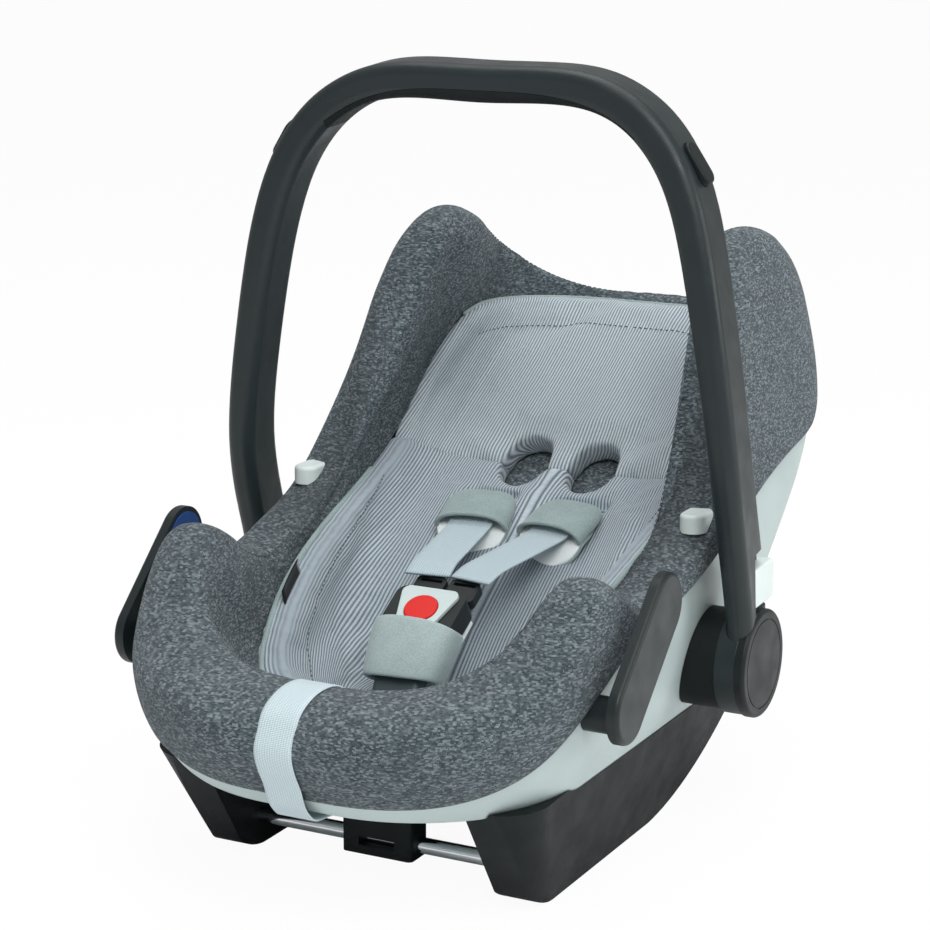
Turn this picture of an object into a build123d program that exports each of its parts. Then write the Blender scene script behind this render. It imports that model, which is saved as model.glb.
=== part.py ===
from build123d import *
import math
import os

# Infant car seat with carry handle, in millimetres.
# The floor is Z = 0, the seat faces -Y and the handle turns about the X axis line through Y = 0.
# Left is the occupant's left, at +X. Side pieces are drawn on the left and mirrored.

# Overall sizes
FRONT_REACH = 333.0
REAR_REACH = 335.0
HUB_HEIGHT = 136.0
HUB_FACE_X = 220.0
HANDLE_REACH = 437.0
HANDLE_LEAN = 2.4
BLOCK = 600.0

# Clearances
SEAT_GAP = 0.3
RUN_GAP = 0.05
SLIDE_GAP = 0.4
STITCH_GAP = 0.6
SKID_GAP = 0.6

# Walls and padding
SHELL_WALL = 3.0
COVER_SKIN = 5.0
COVER_LINING = 7.0
COVER_CREST = 12.0
LINER_WALL = 25.0
INLAY_PAD = 17.0

# Shell: each slice is height, front, rear, half width, front radius, rear radius
BELLY_Z = 60.0
SHELL_FRONT = FRONT_REACH - COVER_SKIN
SHELL_REAR = REAR_REACH - COVER_SKIN
SHELL_SLICES = (
    (BELLY_Z, 180.0, 95.0, 110.0, 90.0, 70.0),
    (85.0, SHELL_FRONT - 24.0, 128.0, 153.0, 126.0, 90.0),
    (125.0, SHELL_FRONT, 166.0, 168.0, 136.0, 105.0),
    (200.0, SHELL_FRONT, 232.0, 177.0, 142.0, 115.0),
    (270.0, SHELL_FRONT - 6.0, SHELL_REAR - 18.0, 171.0, 138.0, 118.0),
    (335.0, SHELL_FRONT - 12.0, SHELL_REAR, 159.0, 128.0, 118.0),
    (445.0, SHELL_FRONT - 20.0, SHELL_REAR - 46.0, 143.0, 118.0, 110.0),
)

# Cavity that the lining faces, in the same slice form
CAVITY_SLICES = (
    (92.0, 195.0, -75.0, 80.0, 55.0, 50.0),
    (125.0, 240.0, -38.0, 108.0, 84.0, 60.0),
    (170.0, 272.0, 30.0, 126.0, 100.0, 70.0),
    (215.0, 288.0, 101.0, 136.0, 108.0, 80.0),
    (310.0, 290.0, 262.0, 132.0, 106.0, 90.0),
    (450.0, 290.0, 300.0, 110.0, 96.0, 90.0),
)

# Side-view lines, each point is Y, Z
RIM_LINE = (
    (-360.0, 140.0),
    (-322.0, 165.0),
    (-285.0, 170.0),
    (-240.0, 196.0),
    (-190.0, 235.0),
    (-127.0, 204.0),
    (-60.0, 216.0),
    (-6.0, 240.0),
    (45.0, 302.0),
    (105.0, 408.0),
    (150.0, 428.0),
    (205.0, 414.0),
    (262.0, 380.0),
    (320.0, 336.0),
    (360.0, 312.0),
)
HEM_LINE = (
    (-360.0, 96.0),
    (-300.0, 99.0),
    (-262.0, 118.0),
    (-217.0, 155.0),
    (-49.0, 200.0),
    (107.0, 247.0),
    (287.0, 274.0),
    (360.0, 280.0),
)
INLAY_LINE = (
    (-300.0, 96.0),
    (-200.0, 128.0),
    (-138.0, 170.0),
    (8.0, 230.0),
    (81.0, 265.0),
    (168.0, 340.0),
    (230.0, 348.0),
    (340.0, 340.0),
)
INLAY_SPLIT = (81.0, 255.0)
INLAY_SPLIT_TILT = 55.0
INLAY_SPLIT_GAP = 2.0

# Skids, bar and pan
SKID_INNER_X = 105.0
SKID_SOLE_X = 135.0
SKID_TOP_X = 161.0
SKID_TOP_Z = 112.0
SKID_SOLE_FRONT = 222.0
SKID_TOP_FRONT = 278.0
SKID_REAR = 180.0
SKID_CORNER = 34.0
SKID_WALL = 4.0
SOLE_FRONT = -184.0
SOLE_REAR = -15.0
TOE = (-216.0, 12.0)
BROW = (-266.0, 90.0)
HEEL_MID = (50.0, 17.0)
HEEL = (104.0, 55.0)
TAIL = (140.0, 108.0)
BAR_Y = -186.0
BAR_Z = 23.0
BAR_RADIUS = 6.0
BAR_SEAT = 14.0
BAR_BOSS_RADIUS = 11.0
BRACKET_WIDTH = 58.0
BRACKET_DEPTH = 26.0
BRACKET_DROP = 10.0
WINDOW_WIDTH = 30.0
WINDOW_HEIGHT = 7.0
PAN_THICKNESS = 7.0
PAN_FRONT = 170.0
PAN_REAR = 90.0
SCREW_X = 121.0
SCREW_YS = (-120.0, -40.0, 30.0)
SCREW_RADIUS = 2.5
SCREW_HEAD_RADIUS = 5.0
SCREW_HEAD = 3.5
SCREW_HEAD_Z = 22.0
SCREW_TIP_Z = 82.0
SCREW_BOSS_RADIUS = 9.0
PAN_SCREW_X = 70.0
PAN_SCREW_YS = (-130.0, -40.0, 50.0)

# Hubs
BOSS_RADIUS = 38.0
BOSS_FACE_X = 195.5
DRUM_RADIUS = 40.0
DRUM_INNER_X = 196.0
DRUM_FACE_X = 212.0
CAP_RADIUS = 41.0
CAP_EDGE = 3.0
CAP_RING_RADIUS = 34.0
CAP_RING_WIDTH = 1.0
CAP_RING_DEPTH = 0.6
BOLT_RADIUS = 6.0
BOLT_HEAD_RADIUS = 11.0
BOLT_HEAD = 4.3
BOLT_TAIL_X = 159.0
BOLT_NUT = 5.0
LOCK_RECESS_RADIUS = 30.0
LOCK_RECESS = 8.0
LOCK_DISC = 3.0
LOCK_TRAVEL = 3.6
LOCK_TEETH = 12
LOCK_TOOTH = 3.0
LOCK_TOOTH_WIDTH = 6.0
WAVE_SPRING = 0.4
WAVE_SPRING_INNER = 13.0
WAVE_SPRING_OUTER = 19.0

# Handle: the centre line of one arm is out from the middle, up from the hub
ARM_X = 207.0
BOW_HALF = 14.0
BOW_TOP = HANDLE_REACH - BOW_HALF
BOW_BULGE = 26.0
BOW_LINE = (
    (ARM_X, 0.0, 0.0),
    (ARM_X, -0.35 * BOW_BULGE, 60.0),
    (ARM_X - 1.5, -0.95 * BOW_BULGE, 130.0),
    (ARM_X - 11.0, -BOW_BULGE, BOW_TOP - 210.0),
    (ARM_X - 27.0, -0.8 * BOW_BULGE, BOW_TOP - 120.0),
    (ARM_X - 50.0, -0.45 * BOW_BULGE, BOW_TOP - 54.0),
    (ARM_X - 92.0, -0.15 * BOW_BULGE, BOW_TOP - 12.0),
    (0.0, 0.0, BOW_TOP),
)
BOW_SECTIONS = 25
ARM_DEPTH = 54.0
SHOULDER_DEPTH = 44.0
ARM_THICK = 20.0
ARM_TWIST = 8.0
BOW_CORNER = 8.5
GRIP_HALF = 128.0
GRIP_THICK = 10.0
CABLE_RADIUS = 1.5
CABLE_FOOT_SHARE = 0.14
CABLE_TOP_SHARE = 0.3
CABLE_POINTS = 6
HANDLE_BUTTON_AT = (ARM_X - 48.0, -0.45 * BOW_BULGE, BOW_TOP - 57.0)
HANDLE_BUTTON_TILT = 33.0
HANDLE_BUTTON_LENGTH = 34.0
HANDLE_BUTTON_WIDTH = 17.0
HANDLE_BUTTON_PROUD = 17.0
HANDLE_BUTTON_FOOT = 5.0
HANDLE_BUTTON_TRAVEL = 4.0
ADAPTOR_Y = 6.0
ADAPTOR_WIDTH = 38.0
ADAPTOR_LOW = 45.4
ADAPTOR_HEIGHT = 30.0
ADAPTOR_TRAVEL = 4.0
ADAPTOR_FLOOR_X = 206.0
ADAPTOR_FACE_X = 217.5
SCOOP_HEIGHT = 12.0

# Lap-belt hooks, blade outline in the side view
HOOK_LOW = (-206.0, 158.0)
HOOK_HIGH = (-144.0, 216.0)
HOOK_RADIUS = 24.0
HOOK_INNER_X = 195.5
HOOK_THICK = 9.0
HOOK_EDGE = 3.5
HOOK_FOOT = (-204.0, 152.0)
HOOK_FOOT_RADIUS = 13.0
MARKER_THICK = 1.2
MARKER_RADIUS = 20.0
MARKER_CUT = -176.0

# Canopy clips on the rim
CLIP_Y = -6.0
CLIP_X = 166.0
CLIP_LENGTH = 32.0
CLIP_WIDTH = 20.0
CLIP_PROUD = 8.0
CLIP_SINK = 6.0
CLIP_STEM = 5.0
CLIP_EDGE = 3.0

# Shoulder-belt guide on the back
GUIDE_Z = 215.0
GUIDE_WIDTH = 70.0
GUIDE_HEIGHT = 16.0
GUIDE_STAND = 26.0
GUIDE_LIP = 24.0
GUIDE_LIP_THICK = 5.0
GUIDE_ROOT = 30.0

# Harness
WEB_THICK = 1.6
WEB_WIDTH = 36.0
WEB_BEND = 5.0
SHOULDER_X = 40.0
TONGUE_X = 18.0
YOKE_AT = (160.0, 186.0)
SHOULDER_ROUTE = (YOKE_AT, (54.0, 224.0), (14.0, 208.0), (-70.0, 200.5), (-86.0, 195.0))
SLOT_AT = (64.0, 220.4)
SLOT_LENGTH = 52.0
SLOT_HEIGHT = 12.0
SLOT_DEPTH = 210.0
SLOT_GROWTH = 18.0
HOLE_AT = (104.0, 244.0)
HOLE_TILT = 31.8
HOLE_X = 30.0
HOLE_LENGTH = 58.0
HOLE_WIDTH = 36.0
PAD_AT = (33.0, 215.6)
PAD_TILT = 21.8
PAD_LENGTH = 42.0
PAD_WIDTH = 60.0
PAD_THICK = 15.0
PAD_EDGE = 6.0
YOKE_TILT = 44.0
YOKE_WIDTH = 128.0
YOKE_THICK = 4.0
YOKE_HEIGHT = 22.0

# Buckle, drawn on a tilted plane through the top of its button
BUCKLE_AT = (0.0, -130.0, 184.0)
BUCKLE_TILT = 30.0
BUCKLE_WIDTH = 58.0
BUCKLE_LOW = 28.0
BUCKLE_HIGH = 24.0
BUCKLE_THICK = 22.0
BUCKLE_EDGE = 4.0
FACE_WIDTH = 50.0
FACE_ANGLE = 75.0
FACE_CORNER = 6.0
FACE_LOW = 19.0
FACE_THICK = 3.0
BUTTON_RADIUS = 13.0
BUTTON_DEEP = 8.0
BUTTON_PROUD = 1.5
BUTTON_TRAVEL = 4.0
TONGUE_WIDTH = 25.0
TONGUE_LONG = 22.0
TONGUE_THICK = 8.0
TONGUE_BLADE = 14.0
TONGUE_BLADE_THICK = 2.5
TONGUE_BLADE_WIDTH = 16.0
TONGUE_EYE = 5.0
STALK_TOP = (-147.0, 158.0)
STALK_END = (-172.0, 116.0)
STALK_WIDTH = 38.0
STALK_THICK = 16.0
STALK_EDGE = 5.0
LOOP_WIDTH = 72.0
LOOP_DEPTH = 44.0
LOOP_SHIFT = 4.0
LOOP_LOW = 26.0
LOOP_HIGH = 66.0
LOOP_EDGE = 4.0
LOOP_BACK = 7.0
LOOP_BACK_WIDTH = 60.0
LOOP_BACK_LOW = -34.0
LOOP_BACK_HIGH = 18.0
CROTCH_FOOT_Z = 84.0
CROTCH_STEP = 6.0
CROTCH_WIDTH = 30.0
ANCHOR_WIDTH = 50.0
ANCHOR_DEPTH = 12.0
ANCHOR_THICK = 2.0

# Adjuster in the front lip
ADJUST_AT = (-258.0, 138.0)
ADJUST_TILT = 52.0
ADJUST_WIDTH = 46.0
ADJUST_HEIGHT = 32.0
ADJUST_DEPTH = 20.0
ADJUST_WALL = 3.0
LEVER_WIDTH = 36.0
LEVER_HEIGHT = 22.0
LEVER_THICK = 4.0
MOUTH_EDGE = 2.5
PIN_RADIUS = 2.0
STRAP_WIDTH = 30.0
STRAP_BEND = 8.0
STRAP_ROUTE = (
    (-256.0, 152.0),
    (-270.0, 179.0),
    (-290.0, 173.0),
    (-322.0, 168.5),
    (-339.0, 150.0),
    (-336.3, 122.0),
    (-323.0, 94.5),
    (-309.5, 80.0),
    (-284.0, 77.0),
)
PULL_ROUTE = (YOKE_AT, (140.0, 120.0), (88.0, 68.0), (-168.0, 68.0), (-246.0, 118.0))

SIDES = (("left", 1), ("right", -1))


def sided(shape, sign):
    """The shape drawn on the left, or its mirror image on the right."""
    return shape if sign > 0 else mirror(shape, about=Plane.YZ)


def plan(front, rear, half_width, front_radius, rear_radius, inset):
    """A round-cornered outline seen from above, drawn in from its sizes by the inset."""
    w = half_width - inset
    y_front = -front + inset
    y_rear = rear - inset
    outline = make_face(Polyline((-w, y_front), (w, y_front), (w, y_rear), (-w, y_rear), close=True))
    outline = fillet(outline.vertices().group_by(Axis.Y)[0], front_radius - inset)
    return fillet(outline.vertices().group_by(Axis.Y)[-1].sort_by(Axis.X), rear_radius - inset)


def tub(slices, inset, lift):
    """A tub through the slices, straight up to the second and smooth above it."""
    faces = [Pos(0, 0, z + lift) * plan(*sizes, inset) for z, *sizes in slices]
    return loft(faces[:2]) + loft(faces[1:])


def side_plate(outline, x_from, x_to):
    """A side-view outline extruded from one X to another."""
    return Pos(x_from, 0, 0) * extrude(Plane.YZ * outline, amount=x_to - x_from)


def below(line, shift):
    """Everything under a smooth side-view line, across the whole width."""
    points = [(y, z + shift) for y, z in line]
    curve = Spline(*points)
    first, last = points[0], points[-1]
    frame = Polyline(last, (last[0], -BLOCK), (first[0], -BLOCK), first)
    return side_plate(make_face([curve, frame]), -BLOCK, BLOCK)


def band(route, bend, thickness, width):
    """Flat webbing that follows a side-view route, centred on X = 0."""
    line = FilletPolyline(*route, radius=bend)
    return side_plate(trace(line, line_width=thickness), -width / 2, width / 2)


def round_x(y, z, radius, x_from, x_to):
    """A cylinder along X."""
    return side_plate(Pos(y, z) * Circle(radius), x_from, x_to)


def tilted(y, z, tilt):
    """A plane across the seat whose normal leans back from straight up by tilt degrees."""
    a = math.radians(tilt)
    return Plane(origin=(0, y, z), x_dir=(1, 0, 0), z_dir=(0, -math.sin(a), math.cos(a)))


def block(width, depth, height, edge):
    """A box standing on its base, with its upright edges rounded."""
    return extrude(RectangleRounded(width, depth, edge), amount=height)


def harness_slots(grow):
    """The two oval ways that the shoulder straps take through the backrest."""
    oval = SlotOverall(SLOT_LENGTH + 2 * grow, SLOT_HEIGHT)
    top = SHOULDER_ROUTE[1]
    fall = math.degrees(math.atan2(top[1] - YOKE_AT[1], YOKE_AT[0] - top[0]))
    plane = tilted(*SLOT_AT, 90.0 - fall)
    both = Pos(SHOULDER_X, 0) * oval + Pos(-SHOULDER_X, 0) * oval
    return extrude(plane * both, amount=SLOT_DEPTH / 2, both=True)


def upper_holes():
    """The two empty ovals in the inlay for the harness's upper height."""
    oval = Rot(0, 0, 90) * SlotOverall(HOLE_LENGTH, HOLE_WIDTH)
    both = Pos(HOLE_X, 0) * oval + Pos(-HOLE_X, 0) * oval
    return extrude(tilted(*HOLE_AT, HOLE_TILT) * both, amount=2 * INLAY_PAD, both=True)


def crotch_route():
    """Side-view route of the crotch strap, from the stalk to the shell floor."""
    foot_y = STALK_END[0] - CROTCH_STEP
    return (STALK_END, (foot_y, (STALK_END[1] + CROTCH_FOOT_Z) / 2), (foot_y, CROTCH_FOOT_Z))


def crotch_way():
    """The slot that the crotch strap and the foot of its stalk need through the padding."""
    route = crotch_route()
    return band(route, WEB_BEND, WEB_THICK + 4 * STITCH_GAP, CROTCH_WIDTH + 4 * STITCH_GAP)


def adjuster_pocket(grow):
    """The room that the adjuster housing takes in the lip."""
    plane = tilted(*ADJUST_AT, -ADJUST_TILT)
    width = ADJUST_WIDTH + 2 * grow
    height = ADJUST_HEIGHT + 2 * grow
    return plane * Pos(0, 0, -ADJUST_DEPTH - grow) * Box(
        width, height, ADJUST_DEPTH + 2 * grow, align=(Align.CENTER, Align.CENTER, Align.MIN)
    )


def adjuster_mouth():
    """The opening in the cover in front of the adjuster's lever."""
    plane = tilted(*ADJUST_AT, -ADJUST_TILT)
    width = LEVER_WIDTH + 2 * MOUTH_EDGE
    height = LEVER_HEIGHT + 2 * MOUTH_EDGE
    return plane * Box(width, height, BLOCK / 10, align=(Align.CENTER, Align.CENTER, Align.MIN))


def strap_grooves():
    """The room that the adjuster strap takes on the lip and under the liner."""
    room = WEB_THICK + 2 * STITCH_GAP
    width = STRAP_WIDTH + 2 * STITCH_GAP
    return band(STRAP_ROUTE, STRAP_BEND, room, width) + band(PULL_ROUTE, STRAP_BEND, room, width)


def screw(x, y, head_z, tip_z):
    """A pan-head screw that points up."""
    head = Pos(x, y, head_z - SCREW_HEAD) * extrude(Circle(SCREW_HEAD_RADIUS), amount=SCREW_HEAD)
    shank = Pos(x, y, head_z) * extrude(Circle(SCREW_RADIUS), amount=tip_z - head_z)
    return head + shank


def screw_way(x, y, head_z, tip_z):
    """The hole for a screw, with a counterbore below its head."""
    bore = Pos(x, y, head_z) * extrude(Circle(SCREW_RADIUS + RUN_GAP), amount=tip_z - head_z)
    sink = Pos(x, y, head_z) * extrude(Circle(SCREW_HEAD_RADIUS + SLIDE_GAP), amount=-BLOCK)
    return bore + sink


def skid_screws():
    """The screws that hold the left skid to the shell."""
    return [screw(SCREW_X, y, SCREW_HEAD_Z, SCREW_TIP_Z) for y in SCREW_YS]


def pan_screws():
    """The screws that hold the belly pan to the shell floor."""
    head_z = BELLY_Z - SEAT_GAP - PAN_THICKNESS
    tip_z = BELLY_Z + SHELL_WALL - SEAT_GAP
    return [screw(s * PAN_SCREW_X, y, head_z, tip_z) for s in (1, -1) for y in PAN_SCREW_YS]


def screw_ways():
    """All screw holes through the shell, its skids and its pan."""
    head_z = BELLY_Z - SEAT_GAP - PAN_THICKNESS
    ways = [screw_way(s * SCREW_X, y, SCREW_HEAD_Z, SCREW_TIP_Z + SEAT_GAP) for s in (1, -1) for y in SCREW_YS]
    pan = [screw_way(s * PAN_SCREW_X, y, head_z, BELLY_Z + SHELL_WALL) for s in (1, -1) for y in PAN_SCREW_YS]
    return ways + pan


def bolt_holes(radius):
    """The holes for the two pivot bolts."""
    hole = round_x(0, HUB_HEIGHT, radius, BOLT_TAIL_X - BOLT_NUT, HUB_FACE_X)
    return hole + sided(hole, -1)


def seat_shell():
    outer = tub(SHELL_SLICES, 0, 0)
    inner = tub(SHELL_SLICES, SHELL_WALL, SHELL_WALL)
    shell = (outer - inner) & below(RIM_LINE, -COVER_CREST - SEAT_GAP)
    return shell - bolt_holes(BOLT_RADIUS + RUN_GAP) - screw_ways()


def foam_liner():
    grow = COVER_LINING + LINER_WALL
    room = tub(SHELL_SLICES, SHELL_WALL + SEAT_GAP, SHELL_WALL + SEAT_GAP)
    liner = tub(CAVITY_SLICES, -grow, -grow) & room
    liner = liner - tub(CAVITY_SLICES, -COVER_LINING - SEAT_GAP, -COVER_LINING - SEAT_GAP)
    liner = liner & below(RIM_LINE, -COVER_CREST - SEAT_GAP)
    ways = [Pos(s * SCREW_X, y, BELLY_Z) * Cylinder(SCREW_BOSS_RADIUS, BLOCK / 10) for s in (1, -1) for y in SCREW_YS]
    liner = liner - harness_slots(SLOT_GROWTH) - crotch_way() - adjuster_pocket(SEAT_GAP) - strap_grooves()
    nut = round_x(0, HUB_HEIGHT, BOLT_HEAD_RADIUS + SLIDE_GAP, BOLT_TAIL_X - BOLT_NUT - SLIDE_GAP, HUB_FACE_X)
    return liner - ways - anchor_room(SEAT_GAP) - nut - sided(nut, -1)


def seat_cover():
    outer = tub(SHELL_SLICES, -COVER_SKIN, 0) & below(RIM_LINE, 0)
    lining = tub(CAVITY_SLICES, -COVER_LINING, -COVER_LINING)
    core = tub(SHELL_SLICES, -SEAT_GAP, -SEAT_GAP) & below(RIM_LINE, -COVER_CREST)
    hidden = (core + below(HEM_LINE, 0)) - lining
    cover = outer - tub(CAVITY_SLICES, 0, 0) - hidden
    cover = cover - harness_slots(SLOT_GROWTH / 2) - crotch_way() - adjuster_pocket(SEAT_GAP) - strap_grooves()
    cover = cover - adjuster_mouth()
    for _, sign in SIDES:
        cover = cover - sided(canopy_clip(SEAT_GAP), sign) - sided(hook_foot(SEAT_GAP), sign)
    return cover.solids().sort_by(SortBy.VOLUME)[-1]


def inlay():
    pad = tub(CAVITY_SLICES, SEAT_GAP, SEAT_GAP) - tub(CAVITY_SLICES, INLAY_PAD, INLAY_PAD)
    pad = pad & below(INLAY_LINE, 0)
    pad = pad - harness_slots(0) - upper_holes()
    return pad - crotch_way() - adjuster_pocket(SEAT_GAP)


def inlay_side(upper):
    """Everything above or below the seam between the head and body inlays."""
    plane = tilted(*INLAY_SPLIT, INLAY_SPLIT_TILT + 90.0)
    shift = INLAY_SPLIT_GAP / 2
    way = -1 if upper else 1
    half = extrude(Rectangle(2 * BLOCK, 2 * BLOCK), amount=way * BLOCK)
    return plane * Pos(0, 0, way * shift) * half


def skid_outline():
    """Side view of a skid: toe, flat sole, rising heel and tail."""
    sole_front = (SOLE_FRONT, 0.0)
    sole_rear = (SOLE_REAR, 0.0)
    front = Polyline(TAIL, BROW, TOE)
    toe = TangentArc(TOE, sole_front, tangent=(sole_front[0] - TOE[0], -2 * TOE[1]))
    sole = Line(sole_front, sole_rear)
    heel = ThreePointArc(sole_rear, HEEL_MID, HEEL)
    tail = Line(HEEL, TAIL)
    return make_face([front, toe, sole, heel, tail])


def draft_wedge():
    """The room inside the leaning outer faces of a left skid."""
    sole = plan(SKID_SOLE_FRONT, SKID_REAR, SKID_SOLE_X, SKID_CORNER, SKID_CORNER, 0)
    top = plan(SKID_TOP_FRONT, SKID_REAR, SKID_TOP_X, SKID_CORNER, SKID_CORNER, 0)
    room = loft([Pos(0, 0, -SEAT_GAP) * sole, Pos(0, 0, SKID_TOP_Z) * top])
    side = Box(BLOCK, 2 * BLOCK, 2 * BLOCK, align=(Align.MIN, Align.CENTER, Align.CENTER))
    return room & (Pos(SKID_INNER_X, 0, 0) * side)


def skid():
    outline = skid_outline()
    body = side_plate(outline, 0, BLOCK) & draft_wedge()
    body = body - tub(SHELL_SLICES, -SKID_GAP, -SKID_GAP) - tub(SHELL_SLICES, 0, 0)
    hollow = side_plate(offset(outline, -SKID_WALL), SKID_INNER_X + SKID_WALL, BLOCK)
    hollow = hollow & (Pos(-SKID_WALL, SKID_WALL, 0) * draft_wedge())
    open_top = Pos(0, 0, SKID_WALL) * hollow
    bosses = [Pos(SCREW_X, y, 0) * extrude(Circle(SCREW_BOSS_RADIUS), amount=SKID_TOP_Z) for y in SCREW_YS]
    seat = round_x(BAR_Y, BAR_Z, BAR_BOSS_RADIUS, SKID_INNER_X, SKID_INNER_X + BAR_SEAT + SKID_WALL)
    solid = body - hollow - open_top
    solid = solid + [piece & body for piece in bosses] + (seat & body)
    solid = solid - round_x(BAR_Y, BAR_Z, BAR_RADIUS + RUN_GAP, 0, SKID_INNER_X + BAR_SEAT)
    ways = [screw_way(SCREW_X, y, SCREW_HEAD_Z, SKID_TOP_Z) for y in SCREW_YS]
    return solid - ways


def belly_pan():
    length = PAN_FRONT + PAN_REAR
    half = SKID_INNER_X - SEAT_GAP
    top = BELLY_Z - SEAT_GAP
    pan = Pos(0, PAN_REAR - length / 2, top - PAN_THICKNESS) * block(2 * half, length, PAN_THICKNESS, 12.0)
    return pan - screw_ways()


def front_crossbar():
    reach = SKID_INNER_X + BAR_SEAT - SEAT_GAP
    return round_x(BAR_Y, BAR_Z, BAR_RADIUS, -reach, reach)


def bar_bracket():
    base_z = BAR_Z - BRACKET_DROP
    top = BELLY_Z + SHELL_WALL
    body = Pos(0, BAR_Y, base_z) * block(BRACKET_WIDTH, BRACKET_DEPTH, top - base_z, 4.0)
    window = Box(WINDOW_WIDTH, BRACKET_DEPTH, WINDOW_HEIGHT)
    body = body - Pos(0, BAR_Y - BRACKET_DEPTH / 2, BAR_Z) * window
    body = body - round_x(BAR_Y, BAR_Z, BAR_RADIUS + RUN_GAP, -BRACKET_WIDTH, BRACKET_WIDTH)
    pan_room = Pos(0, -PAN_FRONT - SEAT_GAP, 0) * Box(
        BLOCK, BLOCK, 2 * BLOCK, align=(Align.CENTER, Align.MIN, Align.CENTER)
    )
    return body - tub(SHELL_SLICES, -SEAT_GAP, -SEAT_GAP) - pan_room


def hub_boss():
    boss = round_x(0, HUB_HEIGHT, BOSS_RADIUS, SKID_INNER_X, BOSS_FACE_X)
    boss = boss - tub(SHELL_SLICES, -SEAT_GAP, -SEAT_GAP) - skid_room()
    boss = boss - (tub(SHELL_SLICES, -COVER_SKIN - SEAT_GAP, 0) - below(HEM_LINE, -SEAT_GAP))
    return boss - bolt_holes(BOLT_RADIUS + RUN_GAP)


def skid_room():
    """The slab that a left skid fills, with a gap around it."""
    outline = offset(skid_outline(), SEAT_GAP)
    return side_plate(outline, 0, BLOCK) & (Pos(SEAT_GAP, 0, SEAT_GAP) * draft_wedge())


def pivot_bolt():
    head_x = DRUM_FACE_X - SEAT_GAP
    shank = round_x(0, HUB_HEIGHT, BOLT_RADIUS, BOLT_TAIL_X, head_x)
    head = round_x(0, HUB_HEIGHT, BOLT_HEAD_RADIUS, head_x - BOLT_HEAD, head_x)
    nut = round_x(0, HUB_HEIGHT, BOLT_HEAD_RADIUS, BOLT_TAIL_X - BOLT_NUT, BOLT_TAIL_X)
    return shank + head + nut


def hub_cap():
    cap = round_x(0, HUB_HEIGHT, CAP_RADIUS, DRUM_FACE_X + SEAT_GAP, HUB_FACE_X)
    cap = fillet(cap.edges().group_by(Axis.X)[-1], CAP_EDGE)
    ring = Circle(CAP_RING_RADIUS) - Circle(CAP_RING_RADIUS - CAP_RING_WIDTH)
    return cap - side_plate(Pos(0, HUB_HEIGHT) * ring, HUB_FACE_X - CAP_RING_DEPTH, BLOCK)


def lean(shape):
    """The shape, drawn with an upright handle, leaned forward about the hub axis."""
    turn = Pos(0, 0, HUB_HEIGHT) * Rot(HANDLE_LEAN, 0, 0) * Pos(0, 0, -HUB_HEIGHT)
    return turn * shape


def bow_line():
    """Centre line of the whole bow, from the right hub over the top to the left hub."""
    left = [(x, y, HUB_HEIGHT + v) for x, y, v in BOW_LINE]
    right = [(-x, y, z) for x, y, z in left[:-1]]
    return Spline(*right, *reversed(left))


def across(path, t):
    """The plane square to the path at one share of its length, with its X along the depth."""
    along = path % t
    depth = Vector(0, 1, 0) - along * along.Y
    return Plane(origin=path @ t, x_dir=depth, z_dir=along)


def bow_body():
    path = bow_line()
    faces = []
    for i in range(BOW_SECTIONS):
        t = i / (BOW_SECTIONS - 1)
        low = abs(2 * t - 1)
        depth = SHOULDER_DEPTH + (ARM_DEPTH - SHOULDER_DEPTH) * low**2
        thick = 2 * BOW_HALF + (ARM_THICK - 2 * BOW_HALF) * low
        plane = across(path, t)
        twist = ARM_TWIST * (1 - 2 * t)
        faces.append(plane * Rot(0, 0, twist) * RectangleRounded(depth, thick, BOW_CORNER))
    return loft(faces)


def drum():
    body = round_x(0, HUB_HEIGHT, DRUM_RADIUS, DRUM_INNER_X, DRUM_FACE_X)
    return fillet(body.edges().group_by(Axis.X)[-1], 1.0)


def lock_teeth(radius, tooth, width, x_from, x_to):
    """A disc with square teeth round its rim."""
    outline = Circle(radius) + [
        Rot(0, 0, 360 * i / LOCK_TEETH) * Pos(radius, 0) * Rectangle(2 * tooth, width) for i in range(LOCK_TEETH)
    ]
    return side_plate(Pos(0, HUB_HEIGHT) * outline, x_from, x_to)


def hub_room():
    """What the hub mechanism takes out of a left drum."""
    radius = LOCK_RECESS_RADIUS - LOCK_TOOTH
    recess = lock_teeth(radius, LOCK_TOOTH, LOCK_TOOTH_WIDTH, DRUM_INNER_X - 2 * BOW_HALF, DRUM_INNER_X + LOCK_RECESS)
    bore = round_x(0, HUB_HEIGHT, BOLT_RADIUS + RUN_GAP, DRUM_INNER_X, BLOCK)
    sink = round_x(0, HUB_HEIGHT, BOLT_HEAD_RADIUS + SLIDE_GAP, DRUM_FACE_X - SEAT_GAP - BOLT_HEAD - SEAT_GAP, BLOCK)
    return recess + bore + sink


def arm_trim():
    """What stands out of a left drum's two faces and is taken off the arm's foot."""
    inner = round_x(0, HUB_HEIGHT, BLOCK / 8, 0, DRUM_INNER_X)
    inner = inner & (Pos(0, 0, HUB_HEIGHT - BLOCK) * Box(BLOCK, BLOCK, 2 * BLOCK + 2 * DRUM_RADIUS))
    outer = round_x(0, HUB_HEIGHT, CAP_RADIUS + SLIDE_GAP, DRUM_FACE_X, BLOCK)
    return inner + outer


def adaptor_room(grow, height, shift):
    """A box at the foot of a left arm, above the hub cap."""
    width = ADAPTOR_WIDTH + 2 * grow
    depth = ADAPTOR_FACE_X - ADAPTOR_FLOOR_X
    at = Pos(ADAPTOR_FLOOR_X - grow, ADAPTOR_Y, HUB_HEIGHT + ADAPTOR_LOW + shift)
    return at * Box(depth + 2 * grow + shift, width, height, align=(Align.MIN, Align.CENTER, Align.MIN))


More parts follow.
